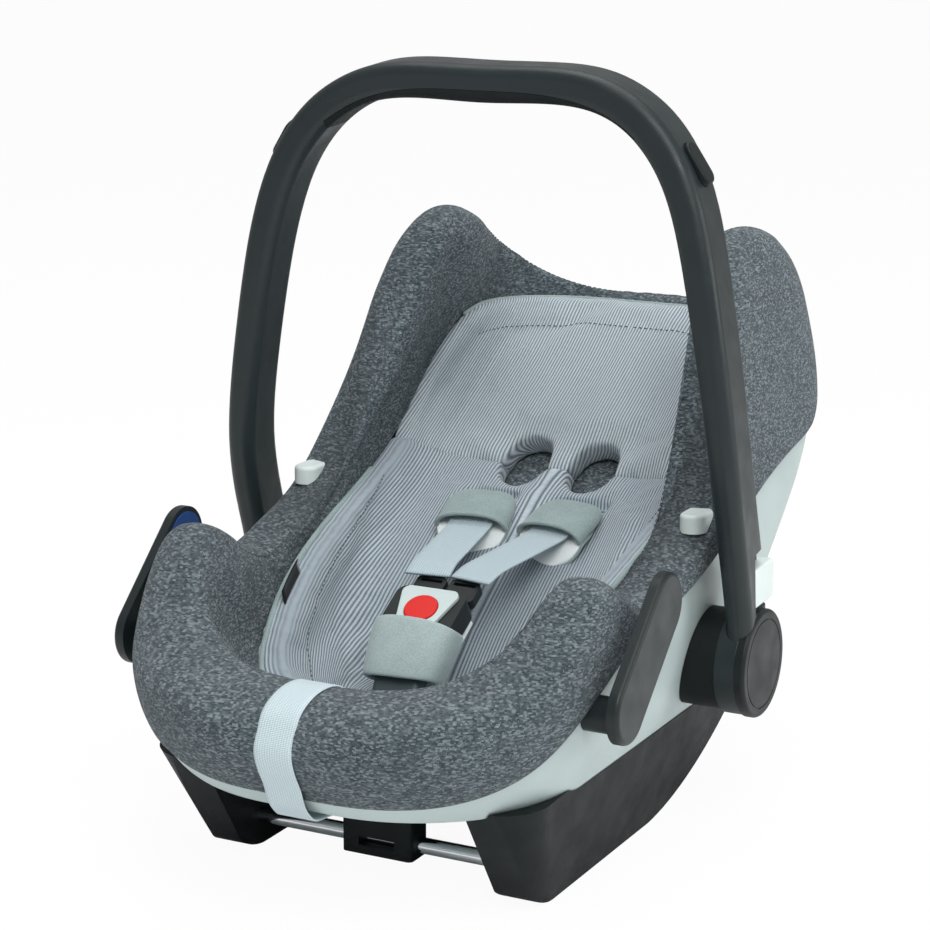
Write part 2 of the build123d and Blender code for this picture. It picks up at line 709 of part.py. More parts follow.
def adaptor_pocket():
    """The pocket for the adaptor button, with a finger scoop above it."""
    low = ADAPTOR_TRAVEL + SLIDE_GAP
    pocket = Pos(0, 0, -low) * adaptor_room(SLIDE_GAP, ADAPTOR_HEIGHT + low + SLIDE_GAP, 0)
    scoop = Pos(0, 0, ADAPTOR_HEIGHT) * adaptor_room(0, SCOOP_HEIGHT, 0)
    scoop = Pos(2.0, 0, 0) * scoop
    return pocket + scoop + Pos(BOW_HALF / 2, 0, 0) * (pocket + scoop)


def adaptor_button():
    body = adaptor_room(0, ADAPTOR_HEIGHT, 0)
    body = fillet(body.edges().filter_by(Axis.X), 4.0)
    return lean(fillet(body.faces().sort_by(Axis.X)[-1].edges(), 2.0))


def handle_button_plane():
    x, y, v = HANDLE_BUTTON_AT
    a = math.radians(HANDLE_BUTTON_TILT)
    return Plane(origin=(x, y, HUB_HEIGHT + v), x_dir=(0, 1, 0), z_dir=(math.cos(a), 0, math.sin(a)))


def handle_button_shape(grow, foot, proud):
    oval = SlotOverall(HANDLE_BUTTON_LENGTH + 2 * grow, HANDLE_BUTTON_WIDTH + 2 * grow)
    plane = handle_button_plane() * Rot(0, 0, 90) * Pos(0, 0, foot)
    return plane * extrude(oval, amount=proud - foot)


def handle_button():
    body = handle_button_shape(0, HANDLE_BUTTON_FOOT, HANDLE_BUTTON_PROUD)
    top = body.faces().sort_by(lambda f: (f.center() - handle_button_plane().origin).length)[-1]
    return lean(fillet(top.edges(), 2.0))


def cable(radius):
    """A round cable, or its channel, along the middle of the left arm."""
    path = bow_line()
    step = (CABLE_TOP_SHARE - CABLE_FOOT_SHARE) / (CABLE_POINTS - 1)
    shares = [1 - CABLE_FOOT_SHARE - i * step for i in range(CABLE_POINTS)]
    return loft([across(path, share) * Circle(radius) for share in shares])


def grip_zone(inset):
    """The underside of the bow's top, between its shoulders."""
    half = GRIP_HALF - inset
    ends = BOW_TOP - BOW_HALF + GRIP_THICK - inset
    side = ends - 28.0
    corners = (
        (-half, 0.0),
        (-half, side),
        (-half * 0.62, ends - 5.0),
        (0.0, ends),
        (half * 0.62, ends - 5.0),
        (half, side),
        (half, 0.0),
    )
    outline = make_face([Spline(*corners[1:6]), Polyline(corners[5], corners[6], corners[0], corners[1])])
    return Pos(0, 0, HUB_HEIGHT) * extrude(Plane.XZ * outline, amount=BLOCK, both=True)


def handle_bow():
    bow = bow_body()
    for _, sign in SIDES:
        bow = bow - sided(arm_trim(), sign) + sided(drum(), sign)
    for _, sign in SIDES:
        bow = bow - sided(hub_room(), sign) - sided(adaptor_pocket(), sign)
        bow = bow - sided(handle_button_shape(SLIDE_GAP, 0, BLOCK), sign)
        bow = bow - sided(cable(CABLE_RADIUS + SLIDE_GAP), sign)
    return lean(bow - grip_zone(0))


def handle_grip():
    return lean(bow_body() & grip_zone(SEAT_GAP))


def lock_disc():
    radius = LOCK_RECESS_RADIUS - LOCK_TOOTH - SLIDE_GAP
    x_from = DRUM_INNER_X + SEAT_GAP
    width = LOCK_TOOTH_WIDTH - 2 * SLIDE_GAP
    disc = lock_teeth(radius, LOCK_TOOTH, width, x_from, x_from + LOCK_DISC)
    return lean(disc - round_x(0, HUB_HEIGHT, BOLT_RADIUS + SLIDE_GAP, x_from, x_from + LOCK_DISC))


def lock_spring():
    floor = DRUM_INNER_X + LOCK_RECESS
    ring = Circle(WAVE_SPRING_OUTER) - Circle(WAVE_SPRING_INNER)
    return side_plate(Pos(0, HUB_HEIGHT) * ring, floor - SEAT_GAP / 3 - WAVE_SPRING, floor - SEAT_GAP / 3)


def hook_outline(radius):
    """Oblong blade outline between the hook's low and high ends."""
    dy = HOOK_HIGH[0] - HOOK_LOW[0]
    dz = HOOK_HIGH[1] - HOOK_LOW[1]
    length = math.hypot(dy, dz)
    angle = math.degrees(math.atan2(dz, dy))
    middle = Pos((HOOK_LOW[0] + HOOK_HIGH[0]) / 2, (HOOK_LOW[1] + HOOK_HIGH[1]) / 2)
    return middle * Rot(0, 0, angle) * SlotCenterToCenter(length, 2 * radius)


def hook_foot(grow):
    """The post between a left hook's blade and the shell."""
    return round_x(*HOOK_FOOT, HOOK_FOOT_RADIUS + grow, SKID_INNER_X, HOOK_INNER_X)


def lap_belt_hook():
    blade = side_plate(hook_outline(HOOK_RADIUS), HOOK_INNER_X, HOOK_INNER_X + HOOK_THICK)
    blade = fillet(blade.edges().group_by(Axis.X)[-1], HOOK_EDGE)
    return blade + (hook_foot(0) - tub(SHELL_SLICES, -SEAT_GAP, -SEAT_GAP))


def lap_belt_marker():
    x_to = HOOK_INNER_X - SEAT_GAP / 3
    plate = side_plate(hook_outline(MARKER_RADIUS), x_to - MARKER_THICK, x_to)
    return plate & (Pos(0, MARKER_CUT, 0) * Box(BLOCK, BLOCK, 2 * BLOCK, align=(Align.CENTER, Align.MIN, Align.CENTER)))


def rim_height(y):
    """Height of the rim line at one place along the seat."""
    curve = Spline(*RIM_LINE)
    cut = Line((y, -BLOCK), (y, BLOCK))
    return curve.find_intersection_points(cut)[0].Y


def canopy_clip(grow):
    """A rounded knob on the rim with a stem down to the shell's edge."""
    crest = rim_height(CLIP_Y)
    knob_z = crest - CLIP_SINK - grow
    knob = SlotOverall(CLIP_LENGTH + 2 * grow, CLIP_WIDTH + 2 * grow)
    body = Pos(CLIP_X, CLIP_Y, knob_z) * Rot(0, 0, 90) * extrude(knob, amount=CLIP_SINK + CLIP_PROUD + 2 * grow)
    body = fillet(body.edges().group_by(Axis.Z)[-1], CLIP_EDGE)
    stem_z = crest - COVER_CREST - CLIP_STEM
    stem = Pos(CLIP_X, CLIP_Y, stem_z) * extrude(Circle(CLIP_STEM + grow), amount=COVER_CREST + CLIP_STEM)
    return (body + stem) - below(RIM_LINE, -COVER_CREST)


def shoulder_belt_guide():
    """A hook on the back: a root against the shell and a lip that keeps the belt."""
    root = Pos(0, SHELL_REAR - GUIDE_ROOT, GUIDE_Z) * Box(GUIDE_WIDTH, 3 * GUIDE_ROOT, GUIDE_HEIGHT)
    root = root & (tub(SHELL_SLICES, -GUIDE_STAND, 0))
    lip_zone = tub(SHELL_SLICES, -GUIDE_STAND, 0) - tub(SHELL_SLICES, -GUIDE_STAND + GUIDE_LIP_THICK, 0)
    tall = Pos(0, SHELL_REAR - GUIDE_ROOT, GUIDE_Z + GUIDE_LIP / 2) * Box(
        GUIDE_WIDTH, 3 * GUIDE_ROOT, GUIDE_HEIGHT + GUIDE_LIP
    )
    guide = root + (lip_zone & tall)
    return guide - tub(SHELL_SLICES, -SEAT_GAP, -SEAT_GAP)


def splay(shape):
    """Turns a left harness piece so that it runs from the shoulder in to its tongue."""
    foot, top = SHOULDER_ROUTE[-1], SHOULDER_ROUTE[1]
    angle = math.degrees(math.atan2(SHOULDER_X - TONGUE_X, top[0] - foot[0]))
    return Pos(TONGUE_X, foot[0], 0) * Rot(0, 0, -angle) * Pos(0, -foot[0], 0) * shape


def shoulder_strap():
    return splay(band(SHOULDER_ROUTE, WEB_BEND, WEB_THICK, WEB_WIDTH))


def shoulder_pad():
    plane = tilted(*PAD_AT, PAD_TILT)
    pad = plane * Pos(0, 0, -PAD_THICK / 2) * block(PAD_WIDTH, PAD_LENGTH, PAD_THICK, 16.0)
    edges = pad.faces().sort_by(lambda f: f.area)[-2:].edges()
    pad = fillet(edges, PAD_EDGE)
    room = band(SHOULDER_ROUTE, WEB_BEND, WEB_THICK + 2 * STITCH_GAP, WEB_WIDTH + 2 * STITCH_GAP)
    return splay(pad - room)


def buckle_plane():
    return tilted(BUCKLE_AT[1], BUCKLE_AT[2], BUCKLE_TILT)


def buckle_housing():
    length = BUCKLE_LOW + BUCKLE_HIGH
    middle = (BUCKLE_HIGH - BUCKLE_LOW) / 2
    top = -BUTTON_PROUD - FACE_THICK
    body = Pos(0, middle, top - BUCKLE_THICK) * block(BUCKLE_WIDTH, length, BUCKLE_THICK, 9.0)
    body = fillet(body.edges().group_by(Axis.Z)[0], BUCKLE_EDGE)
    well = Pos(0, 0, top) * extrude(Circle(BUTTON_RADIUS + SLIDE_GAP), amount=-BUTTON_DEEP - BUTTON_TRAVEL)
    slots = [tongue_blade(s, SLIDE_GAP) for s in (1, -1)]
    return buckle_plane() * (body - well - slots)


def buckle_face():
    length = FACE_LOW + BUCKLE_HIGH - 2.0
    middle = BUCKLE_HIGH - 2.0 - length / 2
    bottom = -BUTTON_PROUD - FACE_THICK + SEAT_GAP / 3
    outline = Trapezoid(FACE_WIDTH, length, FACE_ANGLE, rotation=180)
    outline = fillet(outline.vertices(), FACE_CORNER)
    plate = Pos(0, middle, bottom) * extrude(outline, amount=FACE_THICK - SEAT_GAP / 3)
    plate = fillet(plate.edges().group_by(Axis.Z)[-1], 1.0)
    hole = Pos(0, 0, bottom) * extrude(Circle(BUTTON_RADIUS + SLIDE_GAP), amount=2 * FACE_THICK)
    return buckle_plane() * (plate - hole)


def buckle_button():
    body = Pos(0, 0, -BUTTON_DEEP - BUTTON_PROUD) * extrude(Circle(BUTTON_RADIUS), amount=BUTTON_DEEP + BUTTON_PROUD)
    return buckle_plane() * fillet(body.edges().group_by(Axis.Z)[-1], 1.2)


def tongue_blade(sign, grow):
    """The metal blade of a tongue inside the buckle, or its slot."""
    z = -BUTTON_PROUD - FACE_THICK - BUCKLE_THICK / 2 - 4.0
    length = TONGUE_BLADE + grow
    width = TONGUE_BLADE_WIDTH + 2 * grow
    thick = TONGUE_BLADE_THICK + 2 * grow
    return Pos(sign * TONGUE_WIDTH * 0.56, BUCKLE_HIGH - length / 2, z) * Box(width, length, thick)


def buckle_tongue():
    z = -BUTTON_PROUD - FACE_THICK - BUCKLE_THICK / 2 - 4.0
    middle = BUCKLE_HIGH + SEAT_GAP + TONGUE_LONG / 2
    at = Pos(TONGUE_WIDTH * 0.56, middle, z - TONGUE_THICK / 2)
    head = at * block(TONGUE_WIDTH, TONGUE_LONG, TONGUE_THICK, 5.0)
    eye = at * Pos(0, TONGUE_LONG / 2 - TONGUE_EYE) * Box(TONGUE_WIDTH - 7.0, 3.0, 4 * TONGUE_THICK)
    bridge = Pos(0, SEAT_GAP, 0) * tongue_blade(1, 0)
    tongue = buckle_plane() * (head - eye + bridge)
    return tongue - shoulder_room()


def shoulder_room():
    """The room that a left shoulder strap takes in its tongue."""
    return splay(band(SHOULDER_ROUTE, WEB_BEND, WEB_THICK + 2 * SEAT_GAP, WEB_WIDTH + 2 * SEAT_GAP))


def stalk_plane():
    """The plane across the foot of the stalk, with its normal along the stalk."""
    dy = STALK_TOP[0] - STALK_END[0]
    dz = STALK_TOP[1] - STALK_END[1]
    return tilted(*STALK_END, -math.degrees(math.atan2(dy, dz)))


def stalk_length():
    return math.hypot(STALK_TOP[0] - STALK_END[0], STALK_TOP[1] - STALK_END[1])


def buckle_stalk():
    body = stalk_plane() * block(STALK_WIDTH, STALK_THICK, stalk_length(), STALK_EDGE)
    half = (BUCKLE_WIDTH + 2 * SEAT_GAP, BUCKLE_LOW + BUCKLE_HIGH + 2 * SEAT_GAP)
    middle = (BUCKLE_HIGH - BUCKLE_LOW) / 2
    floor = -BUTTON_PROUD - FACE_THICK - BUCKLE_THICK - SEAT_GAP
    room = buckle_plane() * Pos(0, middle, floor) * extrude(Rectangle(*half), amount=BLOCK)
    return body - room


def crotch_pad():
    """A felt sleeve round the stalk and the lower half of the buckle, with a pad behind the buckle."""
    height = LOOP_HIGH - LOOP_LOW
    sleeve = Pos(0, LOOP_SHIFT, LOOP_LOW) * block(LOOP_WIDTH, LOOP_DEPTH, height, LOOP_DEPTH / 2 - 1.0)
    sleeve = fillet(sleeve.edges().group_by(Axis.Z)[0] + sleeve.edges().group_by(Axis.Z)[-1], LOOP_EDGE)
    inner = block(STALK_WIDTH + 2 * STITCH_GAP, STALK_THICK + 2 * STITCH_GAP, stalk_length(), STALK_EDGE)
    floor = -BUTTON_PROUD - FACE_THICK - BUCKLE_THICK - STITCH_GAP
    back_long = LOOP_BACK_HIGH - LOOP_BACK_LOW
    back = Pos(0, LOOP_BACK_LOW + back_long / 2, floor - LOOP_BACK) * block(
        LOOP_BACK_WIDTH, back_long, LOOP_BACK, back_long / 3
    )
    length = BUCKLE_LOW + BUCKLE_HIGH + 2 * STITCH_GAP
    middle = (BUCKLE_HIGH - BUCKLE_LOW) / 2
    deep = BUCKLE_THICK + FACE_THICK + 2 * STITCH_GAP
    room = Pos(0, middle, floor) * extrude(Rectangle(BUCKLE_WIDTH + 2 * STITCH_GAP, length), amount=deep)
    pad = stalk_plane() * sleeve + buckle_plane() * back
    return pad - stalk_plane() * inner - buckle_plane() * room


def crotch_strap():
    strap = band(crotch_route(), WEB_BEND, WEB_THICK, CROTCH_WIDTH)
    return strap - stalk_plane() * Pos(0, 0, -SEAT_GAP) * extrude(Rectangle(BLOCK, BLOCK), amount=BLOCK)


def anchor_room(grow):
    """The anchor plate under the crotch strap, or its pocket in the liner."""
    y = STALK_END[0] - CROTCH_STEP
    top = CROTCH_FOOT_Z - SEAT_GAP / 3
    plate = block(ANCHOR_WIDTH + 2 * grow, ANCHOR_DEPTH + 2 * grow, ANCHOR_THICK + 2 * grow, 2.0)
    return Pos(0, y, top - ANCHOR_THICK - grow) * plate


def crotch_anchor():
    return anchor_room(0)


def harness_yoke():
    """The plate behind the backrest that both shoulder straps and the pull strap hang on."""
    plane = tilted(*YOKE_AT, YOKE_TILT)
    plate = plane * Pos(0, 0, -YOKE_THICK / 2) * block(YOKE_WIDTH, YOKE_HEIGHT, YOKE_THICK, 6.0)
    rooms = sided(shoulder_room(), 1) + sided(shoulder_room(), -1)
    return plate - rooms - band(PULL_ROUTE, STRAP_BEND, WEB_THICK + 2 * SEAT_GAP, STRAP_WIDTH + 2 * SEAT_GAP)


def lever_place(grow, deep):
    """The press lever's block in the adjuster's face."""
    plane = tilted(*ADJUST_AT, -ADJUST_TILT)
    size = Box(LEVER_WIDTH + 2 * grow, LEVER_HEIGHT + 2 * grow, deep, align=(Align.CENTER, Align.CENTER, Align.MAX))
    return plane * size


def lever_pin_at():
    plane = tilted(*ADJUST_AT, -ADJUST_TILT)
    point = plane.from_local_coords((0, -LEVER_HEIGHT / 2 + 2 * PIN_RADIUS, -2 * PIN_RADIUS))
    return point.Y, point.Z


def adjuster_housing():
    body = adjuster_pocket(0) - lever_place(SLIDE_GAP, ADJUST_DEPTH - ADJUST_WALL)
    half = LEVER_WIDTH / 2 + ADJUST_WALL
    body = body - round_x(*lever_pin_at(), PIN_RADIUS + RUN_GAP, -half, half)
    return body - strap_grooves()


def adjuster_pin():
    half = LEVER_WIDTH / 2 + ADJUST_WALL - SEAT_GAP
    return round_x(*lever_pin_at(), PIN_RADIUS, -half, half)


def adjuster_lever():
    bar = round_x(*lever_pin_at(), 2 * PIN_RADIUS, -LEVER_WIDTH / 2, LEVER_WIDTH / 2)
    lever = lever_place(0, LEVER_THICK) + bar
    lever = lever - round_x(*lever_pin_at(), PIN_RADIUS + RUN_GAP, -BLOCK, BLOCK)
    return lever - strap_grooves()


def main():
    pad = inlay()
    nodes = {
        "seat_shell": seat_shell(),
        "foam_liner": foam_liner(),
        "seat_cover": seat_cover(),
        "body_inlay": pad & inlay_side(False),
        "head_inlay": pad & inlay_side(True),
        "belly_pan": belly_pan(),
        "front_crossbar": front_crossbar(),
        "bar_bracket": bar_bracket(),
        "pan_screws": Compound(children=pan_screws()),
        "shoulder_belt_guide": shoulder_belt_guide(),
        "handle_bow": handle_bow(),
        "handle_grip": handle_grip(),
        "harness_yoke": harness_yoke(),
        "buckle_housing": buckle_housing(),
        "buckle_face": buckle_face(),
        "buckle_button": buckle_button(),
        "buckle_stalk": buckle_stalk(),
        "crotch_pad": crotch_pad(),
        "crotch_strap": crotch_strap(),
        "crotch_anchor": crotch_anchor(),
        "adjuster_housing": adjuster_housing(),
        "adjuster_lever": adjuster_lever(),
        "adjuster_pin": adjuster_pin(),
        "adjuster_strap": band(STRAP_ROUTE, STRAP_BEND, WEB_THICK, STRAP_WIDTH),
        "pull_strap": band(PULL_ROUTE, STRAP_BEND, WEB_THICK, STRAP_WIDTH),
    }
    paired = {
        "skid": skid(),
        "skid_screws": Compound(children=skid_screws()),
        "hub_boss": hub_boss(),
        "pivot_bolt": pivot_bolt(),
        "hub_cap": hub_cap(),
        "lock_disc": lock_disc(),
        "lock_spring": lock_spring(),
        "release_cable": lean(cable(CABLE_RADIUS)),
        "handle_button": handle_button(),
        "adaptor_button": adaptor_button(),
        "lap_belt_hook": lap_belt_hook(),
        "lap_belt_marker": lap_belt_marker(),
        "canopy_clip": canopy_clip(0),
        "shoulder_strap": shoulder_strap(),
        "shoulder_pad": shoulder_pad(),
        "buckle_tongue": buckle_tongue(),
    }
    for name, shape in paired.items():
        for side, sign in SIDES:
            nodes[f"{name}_{side}"] = sided(shape, sign)
    os.makedirs("parts", exist_ok=True)
    for name, shape in nodes.items():
        export_step(shape, f"parts/{name}.step")


main()
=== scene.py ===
import math

import bmesh
import bpy
import numpy as np
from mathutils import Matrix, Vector
from mathutils.kdtree import KDTree


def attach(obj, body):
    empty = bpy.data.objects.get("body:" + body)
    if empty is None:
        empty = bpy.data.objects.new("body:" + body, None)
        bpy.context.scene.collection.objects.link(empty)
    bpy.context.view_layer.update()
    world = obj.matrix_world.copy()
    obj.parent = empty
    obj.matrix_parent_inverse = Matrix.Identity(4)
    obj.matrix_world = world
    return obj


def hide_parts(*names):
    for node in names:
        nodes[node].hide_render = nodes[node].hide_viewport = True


# Infant car seat. Lengths in this script are millimetres in the CAD frame until a mesh is made.
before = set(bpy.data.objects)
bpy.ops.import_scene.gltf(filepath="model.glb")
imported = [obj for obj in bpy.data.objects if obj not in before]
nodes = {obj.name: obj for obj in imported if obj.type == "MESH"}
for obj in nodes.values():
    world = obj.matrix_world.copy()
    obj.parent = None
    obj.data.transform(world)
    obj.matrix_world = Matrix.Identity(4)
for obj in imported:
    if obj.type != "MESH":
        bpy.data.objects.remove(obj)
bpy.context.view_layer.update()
scene = bpy.context.scene
MM = 0.001

# Sizes shared with the CAD source
COVER_SKIN = 5.0
SHELL_FRONT = 328.0
SHELL_REAR = 330.0
SHELL_SLICES = (
    (60.0, 180.0, 95.0, 110.0, 90.0, 70.0),
    (85.0, SHELL_FRONT - 24.0, 128.0, 153.0, 126.0, 90.0),
    (125.0, SHELL_FRONT, 166.0, 168.0, 136.0, 105.0),
    (200.0, SHELL_FRONT, 232.0, 177.0, 142.0, 115.0),
    (270.0, SHELL_FRONT - 6.0, SHELL_REAR - 18.0, 171.0, 138.0, 118.0),
    (335.0, SHELL_FRONT - 12.0, SHELL_REAR, 159.0, 128.0, 118.0),
    (445.0, SHELL_FRONT - 20.0, SHELL_REAR - 46.0, 143.0, 118.0, 110.0),
)
CAVITY_SLICES = (
    (92.0, 195.0, -75.0, 80.0, 55.0, 50.0),
    (125.0, 240.0, -38.0, 108.0, 84.0, 60.0),
    (170.0, 272.0, 30.0, 126.0, 100.0, 70.0),
    (215.0, 288.0, 101.0, 136.0, 108.0, 80.0),
    (310.0, 290.0, 262.0, 132.0, 106.0, 90.0),
    (450.0, 290.0, 300.0, 110.0, 96.0, 90.0),
)
RIM_LINE = (
    (-360.0, 140.0), (-322.0, 165.0), (-285.0, 170.0), (-240.0, 196.0), (-190.0, 235.0),
    (-127.0, 204.0), (-60.0, 216.0), (-6.0, 240.0), (45.0, 302.0), (105.0, 408.0),
    (150.0, 428.0), (205.0, 414.0), (262.0, 380.0), (320.0, 336.0), (360.0, 312.0),
)
HEM_LINE = (
    (-360.0, 96.0), (-300.0, 99.0), (-262.0, 118.0), (-217.0, 155.0), (-49.0, 200.0),
    (107.0, 247.0), (287.0, 274.0), (360.0, 280.0),
)
INLAY_LINE = (
    (-300.0, 96.0), (-200.0, 128.0), (-138.0, 170.0), (8.0, 230.0), (81.0, 265.0),
    (168.0, 340.0), (230.0, 348.0), (340.0, 340.0),
)
INLAY_SPLIT = (81.0, 255.0)
INLAY_SPLIT_TILT = 55.0
SHOULDER_ROUTE = ((160.0, 186.0), (54.0, 224.0), (14.0, 208.0), (-70.0, 200.5), (-86.0, 195.0))
PULL_ROUTE = ((160.0, 186.0), (140.0, 120.0), (88.0, 68.0), (-168.0, 68.0), (-246.0, 118.0))
SHOULDER_X = 40.0
TONGUE_X = 18.0
PAD_AT = (33.0, 215.6)
PAD_TILT = 21.8
HOLE_X = 30.0
STALK_TOP = (-147.0, 158.0)
STALK_END = (-172.0, 116.0)
BUCKLE_AT = (-130.0, 184.0)
BUCKLE_TILT = 30.0
SIDES = (("left", 1), ("right", -1))


# Curves and grids


def cubic(ts, ps):
    """A natural cubic through points, as a function of its parameter."""
    ts = np.asarray(ts, float)
    ps = np.asarray(ps, float)
    n = len(ts)
    h = np.diff(ts)
    a = np.eye(n)
    b = np.zeros_like(ps)
    for i in range(1, n - 1):
        a[i, i - 1 : i + 2] = h[i - 1], 2 * (h[i - 1] + h[i]), h[i]
        b[i] = 6 * ((ps[i + 1] - ps[i]) / h[i] - (ps[i] - ps[i - 1]) / h[i - 1])
    m = np.linalg.solve(a, b)

    def at(t):
        t = np.clip(np.atleast_1d(np.asarray(t, float)), ts[0], ts[-1])
        i = np.clip(np.searchsorted(ts, t, side="right") - 1, 0, n - 2)
        g = h[i][:, None]
        d = (t - ts[i])[:, None]
        e = (ts[i + 1] - t)[:, None]
        bend = (m[i] * e**3 + m[i + 1] * d**3) / (6 * g)
        return bend + (ps[i] / g - m[i] * g / 6) * e + (ps[i + 1] / g - m[i + 1] * g / 6) * d

    return at


def chords(points):
    """Distance along a line of points, from its first."""
    return np.concatenate([[0.0], np.cumsum(np.linalg.norm(np.diff(points, axis=0), axis=1))])


def side_line(points):
    """Height of a smooth side-view line as a function of Y."""
    points = np.array(points)
    t = chords(points)
    dense = cubic(t, points)(np.linspace(0, t[-1], 900))
    return lambda y: np.interp(y, dense[:, 0], dense[:, 1])


def even(points, count):
    """The same line with evenly spaced points."""
    points = np.asarray(points, float)
    t = chords(points)
    want = np.linspace(0, t[-1], count)
    return np.stack([np.interp(want, t, points[:, i]) for i in range(points.shape[1])], axis=1)


def soften(points, rounds):
    """Rounds the corners of a line whose two ends stay."""
    points = np.array(points, float)
    for _ in range(rounds):
        points[1:-1] = (points[:-2] + 2 * points[1:-1] + points[2:]) / 4
    return points


rim = side_line(RIM_LINE)
hem = side_line(HEM_LINE)
inlay_top = side_line(INLAY_LINE)
RING_CELLS = (2, 34, 36, 26, 8)
HALF = sum(RING_CELLS)
COLS = 2 * HALF


def ring(front, rear, half, front_radius, rear_radius):
    """A rounded outline from its front middle, round the left side, and back by the right."""
    arc_f = np.linspace(-math.pi / 2, 0, RING_CELLS[1] + 1)[:-1]
    arc_r = np.linspace(0, math.pi / 2, RING_CELLS[3] + 1)[:-1]
    front_x = np.linspace(0, half - front_radius, RING_CELLS[0] + 1)[:-1]
    side_y = np.linspace(-front + front_radius, rear - rear_radius, RING_CELLS[2] + 1)[:-1]
    rear_x = np.linspace(half - rear_radius, 0, RING_CELLS[4] + 1)
    x = [front_x, half - front_radius + front_radius * np.cos(arc_f), np.full(len(side_y), half)]
    y = [np.full(len(front_x), -front), -front + front_radius + front_radius * np.sin(arc_f), side_y]
    x += [half - rear_radius + rear_radius * np.cos(arc_r), rear_x]
    y += [rear - rear_radius + rear_radius * np.sin(arc_r), np.full(len(rear_x), rear)]
    left = np.stack([np.concatenate(x), np.concatenate(y)], axis=1)
    right = left[1:-1][::-1] * (-1, 1)
    return np.concatenate([left, right])


class Tub:
    """The wall through a set of slices, straight up to the second and smooth above it."""

    def __init__(self, slices, inset, lift):
        self.z = np.arange(slices[0][0], slices[-1][0], 1.0) + lift
        rings = [ring(f - inset, r - inset, w - inset, a - inset, b - inset) for _, f, r, w, a, b in slices]
        rings = np.stack(rings)
        levels = np.array([s[0] for s in slices]) + lift
        flat = rings.reshape(len(slices), -1)
        share = np.clip((self.z - levels[0]) / (levels[1] - levels[0]), 0, 1)[:, None]
        low = flat[0] * (1 - share) + flat[1] * share
        high = cubic(levels[1:], flat[1:])(self.z)
        self.xy = np.where((self.z < levels[1])[:, None], low, high).reshape(len(self.z), COLS, 2)

    def at(self, col, z):
        x = np.interp(z, self.z, self.xy[:, col, 0])
        y = np.interp(z, self.z, self.xy[:, col, 1])
        return np.stack([x, y, np.broadcast_to(z, np.shape(x))], axis=-1)

    def meets(self, col, line):
        """Height at which one column of the wall crosses a side-view line."""
        over = self.z - line(self.xy[:, col, 1])
        i = int(np.argmax(over >= 0)) if (over >= 0).any() else len(over) - 1
        if i == 0:
            return self.z[0]
        share = over[i - 1] / (over[i - 1] - over[i])
        return self.z[i - 1] + share * (self.z[i] - self.z[i - 1])


# Meshes


def mesh_object(name, points, faces, uv=None):
    """A mesh object from points in millimetres. uv gives a pair of millimetres for each face corner."""
    mesh = bpy.data.meshes.new(name)
    mesh.from_pydata((np.asarray(points, float) * MM).tolist(), [], [list(map(int, f)) for f in faces])
    if uv is not None:
        layer = mesh.uv_layers.new(name="cloth")
        layer.data.foreach_set("uv", np.asarray(uv, np.float32).ravel())
    mesh.polygons.foreach_set("use_smooth", [True] * len(mesh.polygons))
    mesh.update()
    obj = bpy.data.objects.new(name, mesh)
    scene.collection.objects.link(obj)
    return obj


def grid_faces(rows, cols, closed):
    faces = []
    for r in range(rows - 1):
        for c in range(cols if closed else cols - 1):
            d = (c + 1) % cols
            faces.append((r * cols + c, r * cols + d, (r + 1) * cols + d, (r + 1) * cols + c))
    return faces


def capped_faces(rows, cols):
    """Faces of a tube of points with both ends filled."""
    last = (rows - 1) * cols
    return grid_faces(rows, cols, True) + [tuple(range(cols))[::-1], tuple(last + i for i in range(cols))]


def grid_uv(rows, cols, closed, u, v):
    """Corner coordinates for grid_faces. u and v are rows by cols, u one column wider where closed."""
    out = []
    for r in range(rows - 1):
        for c in range(cols if closed else cols - 1):
            for i, j in ((r, c), (r, c + 1), (r + 1, c + 1), (r + 1, c)):
                out.append((u[i, j], v[i, j % cols]))
    return out


def coords(obj):
    out = np.empty(len(obj.data.vertices) * 3, np.float32)
    obj.data.vertices.foreach_get("co", out)
    return out.reshape(-1, 3).astype(float) / MM


def set_coords(obj, points):
    obj.data.vertices.foreach_set("co", (np.asarray(points) * MM).astype(np.float32).ravel())
    obj.data.update()


def normals(obj):
    out = np.empty(len(obj.data.vertices) * 3, np.float32)
    obj.data.vertices.foreach_get("normal", out)
    return out.reshape(-1, 3).astype(float)


def averaged(obj, values, rounds):
    """Values at a mesh's points, each moved halfway to the mean of its neighbours in every round."""
    edges = np.array([e.vertices[:] for e in obj.data.edges])
    count = np.bincount(edges.ravel(), minlength=len(values))[:, None]
    for _ in range(rounds):
        total = np.zeros_like(values)
        np.add.at(total, edges[:, 0], values[edges[:, 1]])
        np.add.at(total, edges[:, 1], values[edges[:, 0]])
        values = 0.5 * values + 0.5 * total / count
    return values


def distances(points, targets):
    """How far each point lies from the nearest target."""
    tree = KDTree(len(targets))
    for i, p in enumerate(targets):
        tree.insert(p, i)
    tree.balance()
    return np.array([tree.find(p)[2] for p in points])


SWELL_FRAMES = 20


